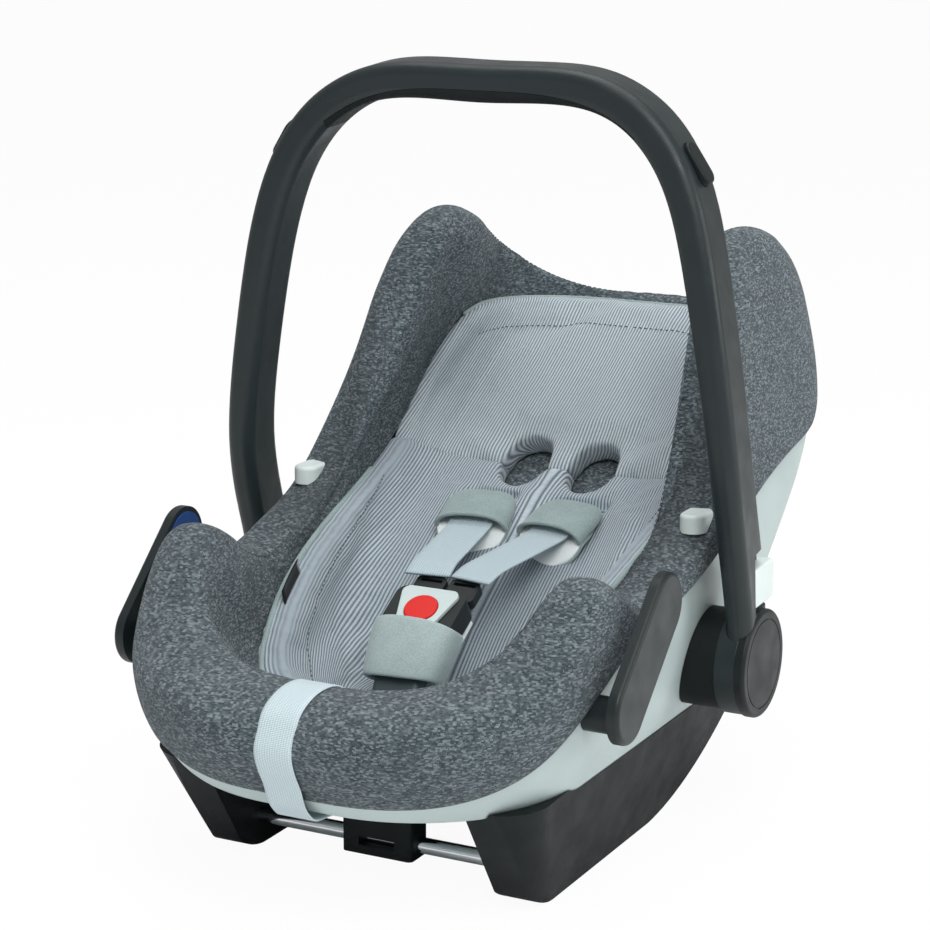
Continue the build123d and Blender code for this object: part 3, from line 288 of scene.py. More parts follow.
def puff(obj, held, pressure, cap, slack):
    """Swells a padded piece between its held points with a short cloth simulation, up to a cap."""
    rest = coords(obj)
    group = obj.vertex_groups.new(name="held")
    for i, weight in enumerate(held):
        if weight > 0:
            group.add([i], float(weight), "REPLACE")
    cloth = obj.modifiers.new("filling", "CLOTH")
    s = cloth.settings
    s.quality = 4
    s.mass = 0.25
    s.tension_stiffness = 18
    s.compression_stiffness = 18
    s.shear_stiffness = 8
    s.bending_stiffness = 0.6
    s.use_pressure = True
    s.uniform_pressure_force = pressure
    s.shrink_min = -slack
    s.effector_weights.gravity = 0
    s.vertex_group_mass = "held"
    cloth.collision_settings.use_collision = False
    cloth.collision_settings.use_self_collision = False
    cloth.point_cache.frame_start = 1
    cloth.point_cache.frame_end = SWELL_FRAMES
    for step in range(1, SWELL_FRAMES + 1):
        scene.frame_set(step)
    graph = bpy.context.evaluated_depsgraph_get()
    swollen = obj.evaluated_get(graph).data
    after = np.empty(len(swollen.vertices) * 3, np.float32)
    swollen.vertices.foreach_get("co", after)
    move = after.reshape(-1, 3).astype(float) / MM - rest
    obj.modifiers.remove(cloth)
    obj.vertex_groups.remove(group)
    scene.frame_set(1)
    length = np.linalg.norm(move, axis=1, keepdims=True)
    set_coords(obj, rest + move * np.minimum(1, cap / np.maximum(length, 1e-9)))


def finer(obj):
    """Adds one level of subdivision surface."""
    mod = obj.modifiers.new("smooth", "SUBSURF")
    mod.levels = 1
    mod.render_levels = 1
    return obj


def copy_of(node, name):
    """A new object with a copy of a CAD node's mesh, joined up along its edges."""
    mesh = nodes[node].data.copy()
    mesh.name = name
    mesh.materials.clear()
    if mesh.has_custom_normals:
        mesh.attributes.remove(mesh.attributes["custom_normal"])
    bm = bmesh.new()
    bm.from_mesh(mesh)
    bmesh.ops.remove_doubles(bm, verts=bm.verts, dist=1e-5)
    bm.to_mesh(mesh)
    bm.free()
    obj = bpy.data.objects.new(name, mesh)
    scene.collection.objects.link(obj)
    return obj


def voxel(obj, size):
    obj.data.remesh_voxel_size = size * MM
    bpy.context.view_layer.objects.active = obj
    bpy.ops.object.voxel_remesh()
    obj.data.polygons.foreach_set("use_smooth", [True] * len(obj.data.polygons))
    return obj


def ribbon(name, path, across, width, thick, crown=0.0):
    """Webbing along a path, with across as its width direction at each point."""
    path = np.asarray(path, float)
    across = np.asarray(across, float)
    across = across / np.linalg.norm(across, axis=1, keepdims=True)
    along = np.gradient(path, axis=0)
    along = along / np.linalg.norm(along, axis=1, keepdims=True)
    up = np.cross(across, along)
    up = up / np.linalg.norm(up, axis=1, keepdims=True)
    half = width / 2
    edge = thick / 2
    shares = np.linspace(-1, 1, 9)
    top = [(s * (half - edge), edge + crown * (1 - s * s)) for s in shares]
    bottom = [(s * (half - edge), -edge + crown * (1 - s * s)) for s in shares[::-1]]
    outline = np.array(top + [(half, 0.0)] + bottom + [(-half, 0.0)])
    count = len(outline)
    points = path[:, None] + across[:, None] * outline[None, :, :1] + up[:, None] * outline[None, :, 1:]
    rows = len(path)
    faces = capped_faces(rows, count)
    run = chords(path)
    u = np.concatenate([outline[:, 0], outline[:1, 0]])
    uv = grid_uv(rows, count, True, np.tile(u, (rows, 1)), np.tile(run[:, None], (1, count)))
    for end in faces[-2:]:
        uv += [(outline[i % count, 0], run[i // count]) for i in end]
    return mesh_object(name, points.reshape(-1, 3), faces, uv)


def piping(name, path, radius):
    """A round cord of cloth along a path."""
    sides = 10
    path = np.asarray(path, float)
    along = np.gradient(path, axis=0)
    along = along / np.maximum(np.linalg.norm(along, axis=1, keepdims=True), 1e-9)
    guess = np.where(np.abs(along[:, 2:3]) > 0.9, (1.0, 0.0, 0.0), (0.0, 0.0, 1.0))
    one = np.cross(along, guess)
    one = one / np.linalg.norm(one, axis=1, keepdims=True)
    two = np.cross(along, one)
    turn = np.linspace(0, 2 * math.pi, sides, endpoint=False)
    circle = np.cos(turn)[None, :, None] * one[:, None] + np.sin(turn)[None, :, None] * two[:, None]
    points = path[:, None] + radius * circle
    return mesh_object(name, points.reshape(-1, 3), capped_faces(len(path), sides))


STITCH_ENDS = ((0.0, 0.35), (0.12, 0.85), (0.5, 1.0), (0.88, 0.85), (1.0, 0.35))
STITCH_SIDES = 6


def stitches(name, lines, length=3.2, gap=1.5, radius=0.42):
    """Rows of thread stitches, each a short rounded bar along its line."""
    points = []
    faces = []
    bar = capped_faces(len(STITCH_ENDS), STITCH_SIDES)
    turn = np.linspace(0, 2 * math.pi, STITCH_SIDES, endpoint=False)
    pitch = length + gap
    for line in lines:
        line = np.asarray(line, float)
        t = chords(line)
        for k in range(int(t[-1] // pitch)):
            ends = np.array([k * pitch, k * pitch + length])
            a, b = np.stack([np.interp(ends, t, line[:, i]) for i in range(3)], axis=1)
            d = (b - a) / max(np.linalg.norm(b - a), 1e-9)
            one = np.cross(d, (0.0, 0.0, 1.0) if abs(d[2]) < 0.9 else (1.0, 0.0, 0.0))
            one = one / np.linalg.norm(one)
            two = np.cross(d, one)
            faces += [tuple(len(points) + i for i in face) for face in bar]
            for share, r in STITCH_ENDS:
                centre = a + (b - a) * share
                for w in turn:
                    points.append(centre + radius * r * (math.cos(w) * one + math.sin(w) * two))
    return mesh_object(name, points, faces)


# Materials


def srgb(*rgb):
    out = []
    for c in rgb:
        c = c / 255
        out.append(c / 12.92 if c <= 0.04045 else ((c + 0.055) / 1.055) ** 2.4)
    return (*out, 1.0)


class Finish:
    """A node material in the making."""

    def __init__(self, name, roughness, **values):
        self.material = bpy.data.materials.new(name)
        self.material.use_nodes = True
        self.tree = self.material.node_tree
        self.shader = self.tree.nodes["Principled BSDF"]
        self.shader.inputs["Roughness"].default_value = roughness
        for key, value in values.items():
            self.shader.inputs[key.replace("_", " ")].default_value = value
        self.where = self.tree.nodes.new("ShaderNodeTexCoord")

    def node(self, kind, **settings):
        made = self.tree.nodes.new("ShaderNode" + kind)
        for key, value in settings.items():
            setattr(made, key, value)
        return made

    def link(self, a, b):
        self.tree.links.new(a, b)

    def mapped(self, scale, uv=False):
        """Object coordinates in metres, or the cloth's own millimetres, times a scale for each axis."""
        m = self.node("Mapping")
        m.inputs["Scale"].default_value = scale
        self.link(self.where.outputs["UV" if uv else "Object"], m.inputs["Vector"])
        return m.outputs["Vector"]

    def noise(self, vector, scale, detail, rough=0.5):
        n = self.node("TexNoise")
        n.inputs["Scale"].default_value = scale
        n.inputs["Detail"].default_value = detail
        n.inputs["Roughness"].default_value = rough
        self.link(vector, n.inputs["Vector"])
        return n.outputs["Fac"]

    def wave(self, vector, axis, scale, warp, detail, warp_scale=1.0):
        w = self.node("TexWave", bands_direction=axis)
        w.inputs["Scale"].default_value = scale
        w.inputs["Distortion"].default_value = warp
        w.inputs["Detail"].default_value = detail
        w.inputs["Detail Scale"].default_value = warp_scale
        self.link(vector, w.inputs["Vector"])
        return w.outputs["Fac"]

    def ramp(self, fac, *stops):
        r = self.node("ValToRGB")
        while len(r.color_ramp.elements) < len(stops):
            r.color_ramp.elements.new(0.5)
        for element, (place, colour) in zip(r.color_ramp.elements, stops):
            element.position = place
            element.color = colour
        self.link(fac, r.inputs["Fac"])
        return r.outputs["Color"]

    def span(self, fac, low, high, start=0.0, end=1.0):
        m = self.node("MapRange")
        m.inputs["From Min"].default_value = start
        m.inputs["From Max"].default_value = end
        m.inputs["To Min"].default_value = low
        m.inputs["To Max"].default_value = high
        self.link(fac, m.inputs["Value"])
        return m.outputs["Result"]

    def vectors(self, a, b, how="ADD"):
        m = self.node("VectorMath", operation=how)
        for value, socket in ((a, m.inputs[0]), (b, m.inputs[1])):
            if isinstance(value, tuple):
                socket.default_value = value
            else:
                self.link(value, socket)
        return m.outputs["Vector"]

    def snapped(self, vector, steps):
        """The corner of the cell that a place lies in."""
        return self.vectors(vector, steps, "SNAP")

    def random(self, vector, out="Value"):
        n = self.node("TexWhiteNoise", noise_dimensions="3D")
        self.link(vector, n.inputs["Vector"])
        return n.outputs[out]

    def sums(self, a, b, how="ADD"):
        m = self.node("Math", operation=how)
        for value, socket in ((a, m.inputs[0]), (b, m.inputs[1])):
            if isinstance(value, (int, float)):
                socket.default_value = value
            else:
                self.link(value, socket)
        return m.outputs["Value"]

    def mix(self, fac, a, b):
        m = self.node("Mix", data_type="RGBA")
        for value, socket in zip((fac, a, b), (m.inputs[0], m.inputs[6], m.inputs[7])):
            if isinstance(value, (int, float, tuple)):
                socket.default_value = value
            else:
                self.link(value, socket)
        return m.outputs[2]

    def colour(self, value):
        self.link(value, self.shader.inputs["Base Color"])

    def rough(self, value):
        self.link(value, self.shader.inputs["Roughness"])

    def bump(self, height, distance):
        b = self.node("Bump")
        b.inputs["Distance"].default_value = distance * MM
        b.inputs["Strength"].default_value = 1.0
        self.link(height, b.inputs["Height"])
        self.link(b.outputs["Normal"], self.shader.inputs["Normal"])


def shade(colour, factor):
    return (*(min(1.0, c * factor) for c in colour[:3]), 1.0)


def plastic(name, colour, roughness, grain=0.12, pitch=0.7, spread=0.08, **values):
    """Moulded plastic: fine grain, a little tone and gloss variation."""
    f = Finish(name, roughness, **values)
    place = f.mapped((1, 1, 1))
    tone = f.noise(place, 9.0, 3.0)
    base = f.ramp(tone, (0.3, shade(colour, 1 - spread)), (0.7, shade(colour, 1 + spread)))
    speck = f.noise(place, 1000 / pitch, 1.0)
    f.colour(f.mix(0.12, base, f.ramp(speck, (0.35, shade(colour, 0.8)), (0.65, shade(colour, 1.2)))))
    f.rough(f.span(f.noise(place, 45.0, 4.0), roughness - 0.07, roughness + 0.07, 0.3, 0.7))
    f.bump(speck, grain)
    return f.material


def steel(name, colour, roughness, stretch):
    """Metal with fine drawn marks along X."""
    f = Finish(name, roughness, Metallic=1.0)
    place = f.mapped((stretch, 1, 1))
    marks = f.noise(place, 900.0, 3.0)
    f.colour(f.ramp(marks, (0.25, shade(colour, 0.86)), (0.75, shade(colour, 1.08))))
    f.rough(f.span(marks, roughness * 0.7, roughness * 1.4, 0.3, 0.7))
    f.bump(marks, 0.02)
    return f.material


def melange(name, dark, mid, light):
    """Heathered woven cloth: each thread float has its own tone."""
    f = Finish(name, 0.92, Sheen_Weight=0.15, Sheen_Roughness=0.5, Specular_IOR_Level=0.2)
    place = f.mapped((1000, 1000, 1000))
    row = f.snapped(f.vectors(place, (0.0, 0.0, 1.0), "MULTIPLY"), (9.0, 9.0, 1.0))
    shifted = f.vectors(place, f.vectors(f.random(row, "Color"), (2.2, 2.2, 0.0), "MULTIPLY"))
    floats = f.random(f.snapped(shifted, (2.2, 2.2, 1.0)))
    slub = f.noise(f.mapped((150, 150, 400)), 1.0, 2.0, 0.6)
    mottled = f.sums(f.span(floats, 0, 0.8), f.span(slub, 0, 0.25, 0.28, 0.72))
    thread = f.ramp(mottled, (0.12, dark), (0.6, mid), (1.0, light))
    broad = f.noise(f.mapped((1, 1, 1)), 14.0, 2.0)
    toned = f.mix(f.span(broad, 0.0, 0.22, 0.35, 0.7), thread, shade(mid, 0.8))
    warp = f.wave(f.mapped((0.38, 0, 0), True), "X", 1.0, 0.6, 2.0)
    weft = f.wave(f.mapped((0, 0.314, 0), True), "Y", 1.0, 0.3, 1.0)
    weave = f.sums(warp, weft, "MULTIPLY")
    f.colour(f.mix(f.span(weave, 0.2, 0.0, 0.0, 0.5), toned, shade(dark, 0.7)))
    f.bump(f.sums(weave, mottled), 0.5)
    return f.material


def ribbed(name, dark, mid, light):
    """Fine ribbed jersey whose ribs follow the cloth's second coordinate, plainer where that is near 0."""
    f = Finish(name, 0.9, Sheen_Weight=0.2, Sheen_Roughness=0.45, Specular_IOR_Level=0.2)
    place = f.mapped((0.121, 0.121, 0.121), True)
    ribs = f.wave(place, "Y", 1.0, 1.0, 2.0, 0.22)
    base = f.ramp(ribs, (0.05, dark), (0.4, mid), (0.85, light))
    apart = f.node("SeparateXYZ")
    f.link(f.mapped((1, 1, 1), True), apart.inputs["Vector"])
    yarn = f.noise(f.mapped((0.8, 0.8, 0.8), True), 1.0, 3.0)
    plain_edge = f.span(apart.outputs["Y"], 0.85, 0.0, 5.0, 14.0)
    calm = f.sums(f.span(yarn, 0.0, 0.5, 0.4, 0.75), plain_edge, "MAXIMUM")
    toned = f.mix(calm, base, mid)
    broad = f.noise(f.mapped((1, 1, 1)), 11.0, 2.0)
    f.colour(f.mix(f.span(broad, 0.0, 0.25, 0.35, 0.7), toned, shade(mid, 0.85)))
    f.bump(f.sums(ribs, f.span(yarn, 0.0, 0.5)), 0.4)
    return f.material


def felt(name, dark, light, bump=0.3):
    """Felted cloth with a short nap."""
    f = Finish(name, 0.95, Sheen_Weight=0.3, Sheen_Roughness=0.4, Specular_IOR_Level=0.15)
    place = f.mapped((1, 1, 1))
    nap = f.noise(place, 1300.0, 3.0, 0.65)
    cloud = f.noise(place, 60.0, 3.0)
    tone = f.ramp(f.sums(f.span(nap, 0, 0.8), f.span(cloud, 0, 0.2)), (0.32, dark), (0.68, light))
    f.colour(tone)
    f.bump(nap, bump)
    return f.material


def webbing(name, dark, light):
    """Woven belt webbing: fine ribs across it over cords along it."""
    f = Finish(name, 0.62, Sheen_Weight=0.1, Specular_IOR_Level=0.35)
    ribs = f.wave(f.mapped((0, 0.26, 0), True), "Y", 1.0, 0.3, 1.0)
    cords = f.wave(f.mapped((0.16, 0, 0), True), "X", 1.0, 0.2, 1.0)
    fibre = f.noise(f.mapped((2.2, 0.8, 1), True), 1.0, 3.0)
    weave = f.sums(f.sums(ribs, 0.55, "MULTIPLY"), f.sums(cords, 0.45, "MULTIPLY"))
    base = f.ramp(weave, (0.1, dark), (0.65, light))
    f.colour(f.mix(f.span(fibre, 0.0, 0.4, 0.35, 0.75), base, shade(light, 1.06)))
    f.bump(f.sums(weave, f.span(fibre, 0.0, 0.4)), 0.35)
    return f.material


COVER_DARK = srgb(44, 57, 62)
COVER_MID = srgb(88, 101, 108)
COVER_LIGHT = srgb(150, 163, 169)
shell_grey = plastic("shell_grey_plastic", srgb(172, 187, 186), 0.5, 0.06)
base_black = plastic("base_black_plastic", srgb(15, 21, 23), 0.55, 0.2, 0.9, Specular_IOR_Level=0.2)
handle_black = plastic("handle_black_plastic", srgb(28, 37, 39), 0.42, 0.1, 0.8, Specular_IOR_Level=0.35)
hook_black = plastic("hook_black_plastic", srgb(24, 32, 34), 0.4, 0.08, Specular_IOR_Level=0.3)
disc_black = plastic("disc_black_plastic", srgb(19, 25, 27), 0.46, 0.1, Specular_IOR_Level=0.25)
grip_black = plastic("grip_black_rubber", srgb(20, 26, 28), 0.66, 0.3, 1.4, Specular_IOR_Level=0.2)
light_plastic = plastic("light_grey_plastic", srgb(208, 220, 217), 0.42, 0.04)
belt_blue = plastic("belt_blue_plastic", srgb(26, 62, 120), 0.45, 0.05)
buckle_black = plastic("buckle_black_plastic", srgb(20, 26, 28), 0.4, 0.08, Specular_IOR_Level=0.3)
stalk_grey = plastic("stalk_grey_plastic", srgb(62, 76, 78), 0.5, 0.16)
button_red = plastic("button_red_plastic", srgb(206, 30, 24), 0.38, 0.03, 0.7, 0.03, Specular_IOR_Level=0.25)
face_grey = plastic("face_grey_plastic", srgb(186, 200, 199), 0.42, 0.05)
foam_grey = plastic("foam_grey_beads", srgb(60, 64, 66), 0.85, 0.8, 4.0)
chrome = steel("bar_chrome", srgb(214, 218, 222), 0.1, 0.05)
screw_steel = steel("screw_steel", srgb(150, 153, 158), 0.32, 1.0)
cover_cloth = melange("cover_melange_cloth", COVER_DARK, COVER_MID, COVER_LIGHT)
body_cloth = ribbed("body_inlay_jersey", srgb(84, 95, 103), srgb(142, 153, 161), srgb(182, 193, 200))
head_cloth = ribbed("head_inlay_jersey", srgb(96, 107, 115), srgb(152, 163, 170), srgb(192, 203, 209))
pad_felt = felt("pad_grey_felt", srgb(118, 134, 135), srgb(158, 174, 174))
pad_white = felt("pad_white_cloth", srgb(228, 236, 236), srgb(248, 251, 251), 0.12)
loop_felt = felt("loop_felt", srgb(138, 154, 155), srgb(180, 196, 195))
strap_web = webbing("harness_webbing", srgb(138, 157, 164), srgb(186, 203, 209))
lip_web = webbing("adjuster_webbing", srgb(150, 171, 178), srgb(200, 215, 220))
thread_dark = felt("seam_thread", srgb(46, 57, 62), srgb(74, 87, 93), 0.1)
tag_black = felt("tag_black_ribbon", srgb(14, 18, 20), srgb(34, 40, 43), 0.1)
trim_ochre = felt("trim_ochre_ribbon", srgb(196, 150, 40), srgb(228, 184, 66), 0.1)
trim_pink = felt("trim_pink_ribbon", srgb(216, 130, 120), srgb(236, 164, 150), 0.1)


def paint(obj, material):
    """Gives an object one material through its own slot."""
    if not obj.material_slots:
        obj.data.materials.append(None)
    for s in obj.material_slots:
        s.link = "OBJECT"
        s.material = material
    return obj


CAD_FINISH = (
    (shell_grey, ("seat_shell",)),
    (foam_grey, ("foam_liner",)),
    (base_black, ("belly_pan", "bar_bracket", "skid", "hub_boss")),
    (chrome, ("front_crossbar",)),
    (screw_steel, (
        "pan_screws", "harness_yoke", "crotch_anchor", "adjuster_pin", "skid_screws", "pivot_bolt",
        "lock_disc", "lock_spring", "release_cable",
    )),
    (belt_blue, ("shoulder_belt_guide", "lap_belt_marker")),
    (handle_black, ("handle_bow",)),
    (grip_black, ("handle_grip",)),
    (buckle_black, ("buckle_housing", "buckle_tongue")),
    (face_grey, ("buckle_face",)),
    (button_red, ("buckle_button",)),
    (stalk_grey, ("buckle_stalk", "adjuster_housing")),
    (light_plastic, ("adjuster_lever", "adaptor_button", "canopy_clip")),
    (disc_black, ("hub_cap", "handle_button")),
    (hook_black, ("lap_belt_hook",)),
)
looks = {kind: look for look, kinds in CAD_FINISH for kind in kinds}
for node_name, node in nodes.items():
    kind = node_name.removesuffix("_left").removesuffix("_right")
    if kind in looks:
        paint(node, looks[kind])


def worn(obj, body, material, slot, *stands_for):
    """Finishes a new piece: material, body and the CAD nodes that it stands for; slot is not used."""
    paint(obj, material)
    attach(obj, body)
    if stands_for:
        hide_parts(*stands_for)
    return obj


# Camera, fitted to the photograph, in metres

CAMERA_AT = (0.89846, -1.78426, 0.74326)
CAMERA_LOOK = (-0.44913, 0.86241, -0.23353)
CAMERA_LENS = 103.3
camera = bpy.data.objects.new("camera", bpy.data.cameras.new("camera"))
scene.collection.objects.link(camera)
scene.camera = camera
camera.data.lens = CAMERA_LENS
camera.data.sensor_width = 36.0
camera.data.clip_end = 40.0
camera.location = CAMERA_AT
camera.rotation_mode = "QUATERNION"
camera.rotation_quaternion = Vector(CAMERA_LOOK).to_track_quat("-Z", "Y")


# Cover

OUT_ROWS = 15
CREST_ROWS = 9
IN_ROWS = 14
INNER_EDGE = 2 + OUT_ROWS + CREST_ROWS
CREST_CROWN = 6.0
INSIDE_LOWEST = 94.0
INSIDE_UNDER_INLAY = 34.0
INSIDE_LEAST = 45.0
SWELL_INSIDE = 7.0
SWELL_FRONT = 4.5
SWELL_SIDE = 1.5
SEAM_DEPTH = 1.6
WING_LIFT = 3.0
STRAP_DENT = 1.6
shell_wall = Tub(SHELL_SLICES, 0.0, 0.0)
cover_wall = Tub(SHELL_SLICES, -COVER_SKIN, 0.0)
cavity_wall = Tub(CAVITY_SLICES, 0.0, 0.0)


def cover_profile(col):
    """One rib of the cover: from its hem on the shell, up, over the crest and down inside."""
    low = cover_wall.meets(col, hem)
    high = cover_wall.meets(col, rim)
    inner_high = cavity_wall.meets(col, rim)
    inner_mark = cavity_wall.meets(col, inlay_top)
    inner_low = max(INSIDE_LOWEST, min(inner_mark - INSIDE_UNDER_INLAY, inner_high - INSIDE_LEAST))
    tuck = shell_wall.at(col, low + 0.5)
    edge = 0.25 * tuck + 0.75 * cover_wall.at(col, low + 0.8)
    outside = cover_wall.at(col, np.linspace(low + 5.0, high, OUT_ROWS))
    a = outside[-1]
    b = cavity_wall.at(col, inner_high)
    share = np.linspace(0, 1, CREST_ROWS + 2)[1:-1, None]
    crest = a * (1 - share) + b * share
    crown = CREST_CROWN * np.clip((crest[:, 1].mean() + 285.0) / 60.0, 0.0, 1.0)
    crest[:, 2] = rim(crest[:, 1]) + crown * np.sin(math.pi * share[:, 0]) ** 0.7
    inside = cavity_wall.at(col, inner_high - (inner_high - inner_low) * np.linspace(0, 1, IN_ROWS) ** 1.7)
    rib = np.concatenate([[tuck, edge], outside, crest, inside])
    rib[2:] = soften(rib[2:], 7)
    return rib


cover_grid = np.stack([cover_profile(c) for c in range(COLS)], axis=1)
COVER_ROWS = cover_grid.shape[0]
outer_row = cover_grid[2 + OUT_ROWS // 2]
along_u = np.tile(chords(np.concatenate([outer_row, outer_row[:1]])), (COVER_ROWS, 1))
down_v = np.stack([chords(cover_grid[:, c]) for c in range(COLS)], axis=1)
cover = mesh_object(
    "seat_cover_cloth",
    cover_grid.reshape(-1, 3),
    grid_faces(COVER_ROWS, COLS, True),
    grid_uv(COVER_ROWS, COLS, True, along_u, down_v),
)

# The side panel's seam runs along the inner edge of the crest and turns down inside each thigh wing.
WING_COL = 22
seam_cells = []
for c in range(WING_COL, HALF + 1):
    turn = max(0, 4 - (c - WING_COL))
    seam_cells.append((INNER_EDGE + turn * turn // 2, c))
seam_cells = [(r, WING_COL) for r in range(COVER_ROWS - 1, INNER_EDGE + 8, -1)] + seam_cells
held = np.zeros((COVER_ROWS, COLS))
held[:3] = 1.0
held[-4:] = 1.0
for r, c in seam_cells:
    held[r, c] = 1.0
    held[r, -c % COLS] = 1.0
reach = np.full((COVER_ROWS, COLS), SWELL_INSIDE)
reach[: 1 + OUT_ROWS] = np.where(cover_grid[: 1 + OUT_ROWS, :, 1] < -150.0, SWELL_FRONT, SWELL_SIDE)
reach = soften(reach, 6)
puff(cover, held.ravel(), 4.0, reach.reshape(-1, 1), 0.012)
shape = coords(cover).reshape(COVER_ROWS, COLS, 3)
outward = normals(cover).reshape(COVER_ROWS, COLS, 3)
for r, c in seam_cells:
    for k in {c, -c % COLS}:
        shape[r, k] -= SEAM_DEPTH * outward[r, k]

# The head wings' crest stands clear of the foam, and the strap over the lip presses the cloth in.
wing = np.clip((shape[..., 2] - 225.0) / 40.0, 0, 1) * np.clip((230.0 - shape[..., 1]) / 40.0, 0, 1)
wing[:OUT_ROWS] = 0.0
wing[INNER_EDGE + 9 :] = 0.0
shape += WING_LIFT * soften(wing, 4)[..., None] * outward
strap_press = np.exp(-((shape[..., 0] / 20.0) ** 4)) * (shape[..., 1] < -240) * (shape[..., 2] > 105)
shape -= STRAP_DENT * strap_press[..., None] * outward
set_coords(cover, shape.reshape(-1, 3))
worn(finer(cover), "seat", cover_cloth, "cover_melange", "seat_cover")


def seam_line(side, lift):
    """The seam's run over the finished cover, lifted above its cloth."""
    cells = [(r, c if side > 0 else -c % COLS) for r, c in seam_cells]
    points = [shape[r, c] + lift * outward[r, c] for r, c in cells]
    return even(soften(points, 2), 3 * len(points))


thread = stitches("cover_seam_stitches", [seam_line(sign, 0.5) for _, sign in SIDES])
worn(thread, "seat", thread_dark, "cover_melange")


# Inlays

INLAY_THICK = 15.0
INLAY_VOXEL = 4.5
INLAY_SWELL = 5.0
INLAY_OVERLAP = 6.0
SEAM_GROOVE = 1.2
PIPING_INSET = 4.0
PIPING_DROP = 0.8
TAG_WIDTH = 11.0
PATCH_WIDTH = 56.0
inlay_face = Tub(CAVITY_SLICES, INLAY_THICK, INLAY_THICK)
inlay_edge = np.stack([inlay_face.at(c, inlay_face.meets(c, inlay_top)) for c in range(COLS)])
EDGE_ROLL = 30.0


def from_edge(points, upper):
    """How far each point lies from its inlay's outer edge, or from the head inlay's two sides."""
    ends = even(np.concatenate([inlay_edge, inlay_edge[:1]]), 900)
    if upper:
        ends = ends[(ends[:, 2] > 225.0) & (np.abs(ends[:, 0]) > 78.0)]
    return distances(points, ends)


def straight_ribs(points):
    """Places across straight ribs: out from the middle, and up where the inlay's sides curl off the back."""
    line = np.array([inlay_face.at(HALF, z) for z in np.arange(150.0, 420.0, 3.0)]) * (0, 1, 1)
    curled = 0.8 * np.maximum(0.0, distances(points * (0, 1, 1), line) - 8.0)
    return 400.0 + np.sign(points[:, 0]) * (np.abs(points[:, 0]) + curled)


def edge_ribs(points):
    """Places across ribs that follow the inlay's edge and straighten towards its middle."""
    inward = from_edge(points, False)
    side = np.abs(points[:, 0])
    share = np.clip((inward - 30.0) / 35.0, 0.0, 1.0)
    share = share * share * (3 - 2 * share)
    passing = np.abs(inward - 48.0) < 4.0
    middle = np.mean(inward[passing] + side[passing]) - side
    return (1 - share) * inward + share * middle


def cloth_coordinates(obj, upper):
    """Gives a remeshed inlay its cloth coordinates: along the seat, and across its ribs."""
    points = coords(obj)
    ribs = straight_ribs(points) if upper else edge_ribs(points)
    pairs = averaged(obj, np.stack([points[:, 1], ribs], axis=1), 6)
    layer = obj.data.uv_layers.new(name="cloth")
    corner = np.empty(len(obj.data.loops), np.int32)
    obj.data.loops.foreach_get("vertex_index", corner)
    layer.data.foreach_set("uv", pairs[corner].astype(np.float32).ravel())


split_tilt = math.radians(INLAY_SPLIT_TILT)
SPLIT_UP = np.array([0.0, math.cos(split_tilt), math.sin(split_tilt)])


def split_height(points):
    """How far each point lies above the seam between the two inlays."""
    return (points - (0.0, *INLAY_SPLIT)) @ SPLIT_UP


def inlay_pad(node, name, cloth):
    """A padded inlay: remeshed from its solid, eased at its edges and swollen on its face."""
    pad = voxel(copy_of(node, name), INLAY_VOXEL)
    points = coords(pad)
    upper = node == "head_inlay"
    lower_edge = upper & (split_height(points) < INLAY_OVERLAP)
    set_coords(pad, points - np.where(lower_edge, INLAY_OVERLAP, 0.0)[:, None] * SPLIT_UP)
    set_coords(pad, averaged(pad, coords(pad), 5))
    levels = range(0, len(cavity_wall.z), 3)
    back = [(*cavity_wall.xy[i, c], cavity_wall.z[i]) for i in levels for c in range(COLS)]
    near_back = (distances(coords(pad), back) < 7.5).astype(float)
    seam = np.exp(-(((from_edge(coords(pad), upper) - EDGE_ROLL) / 3.5) ** 2)) * (1 - near_back)
    puff(pad, np.maximum(near_back, seam), 4.0, INLAY_SWELL, 0.01)
    set_coords(pad, coords(pad) - SEAM_GROOVE * seam[:, None] * normals(pad))
    cloth_coordinates(pad, upper)
    worn(finer(pad), "seat", cloth, "inlay_light", node)
    return pad


body_pad = inlay_pad("body_inlay", "body_inlay_pad", body_cloth)
head_pad = inlay_pad("head_inlay", "head_inlay_pad", head_cloth)

# Felt piping along the outer edge of both inlays, with a plain tag and two plain ribbons caught in it.
binding_wall = Tub(CAVITY_SLICES, PIPING_INSET, PIPING_INSET)
binding_line = np.stack([binding_wall.at(c, binding_wall.meets(c, inlay_top)) for c in range(COLS)])
binding_line[:, 2] -= PIPING_DROP


def edge_run(first, last, sign):
    """Part of the piping's line on one side, between two places along the seat."""
    line = even(binding_line[: HALF + 1], 600) * (sign, 1, 1)
    return line[(line[:, 1] > first) & (line[:, 1] < last)]


upper = np.flatnonzero(split_height(binding_line) > 0)
head_line = binding_line[upper]
body_line = np.concatenate([binding_line[upper[-1] + 1 :], binding_line[: upper[0]]])
for name, line, radius in (("body_inlay_binding", body_line, 2.4), ("head_inlay_binding", head_line, 2.0)):
    worn(finer(piping(name, even(soften(line, 2), 150), radius)), "seat", pad_felt, "inlay_light")


def roll_seam(pad, side):
    """The stitched seam between an inlay's edge roll and its middle panel, laid on the finished pad."""
    line = []
    for c in range(HALF + 1):
        column = inlay_face.at(c, np.arange(inlay_edge[c, 2], inlay_edge[c, 2] - 60.0, -0.5))
        point = column[np.argmax(chords(column) >= EDGE_ROLL)] * (side, 1, 1)
        if (split_height(point) > 0) == (pad is head_pad):
            line.append(point)
    out = []
    for point in even(soften(line, 4), 220):
        _, at, up, _ = pad.closest_point_on_mesh(Vector(point * MM))
        out.append(np.array(at) / MM + 0.5 * np.array(up))
    return out


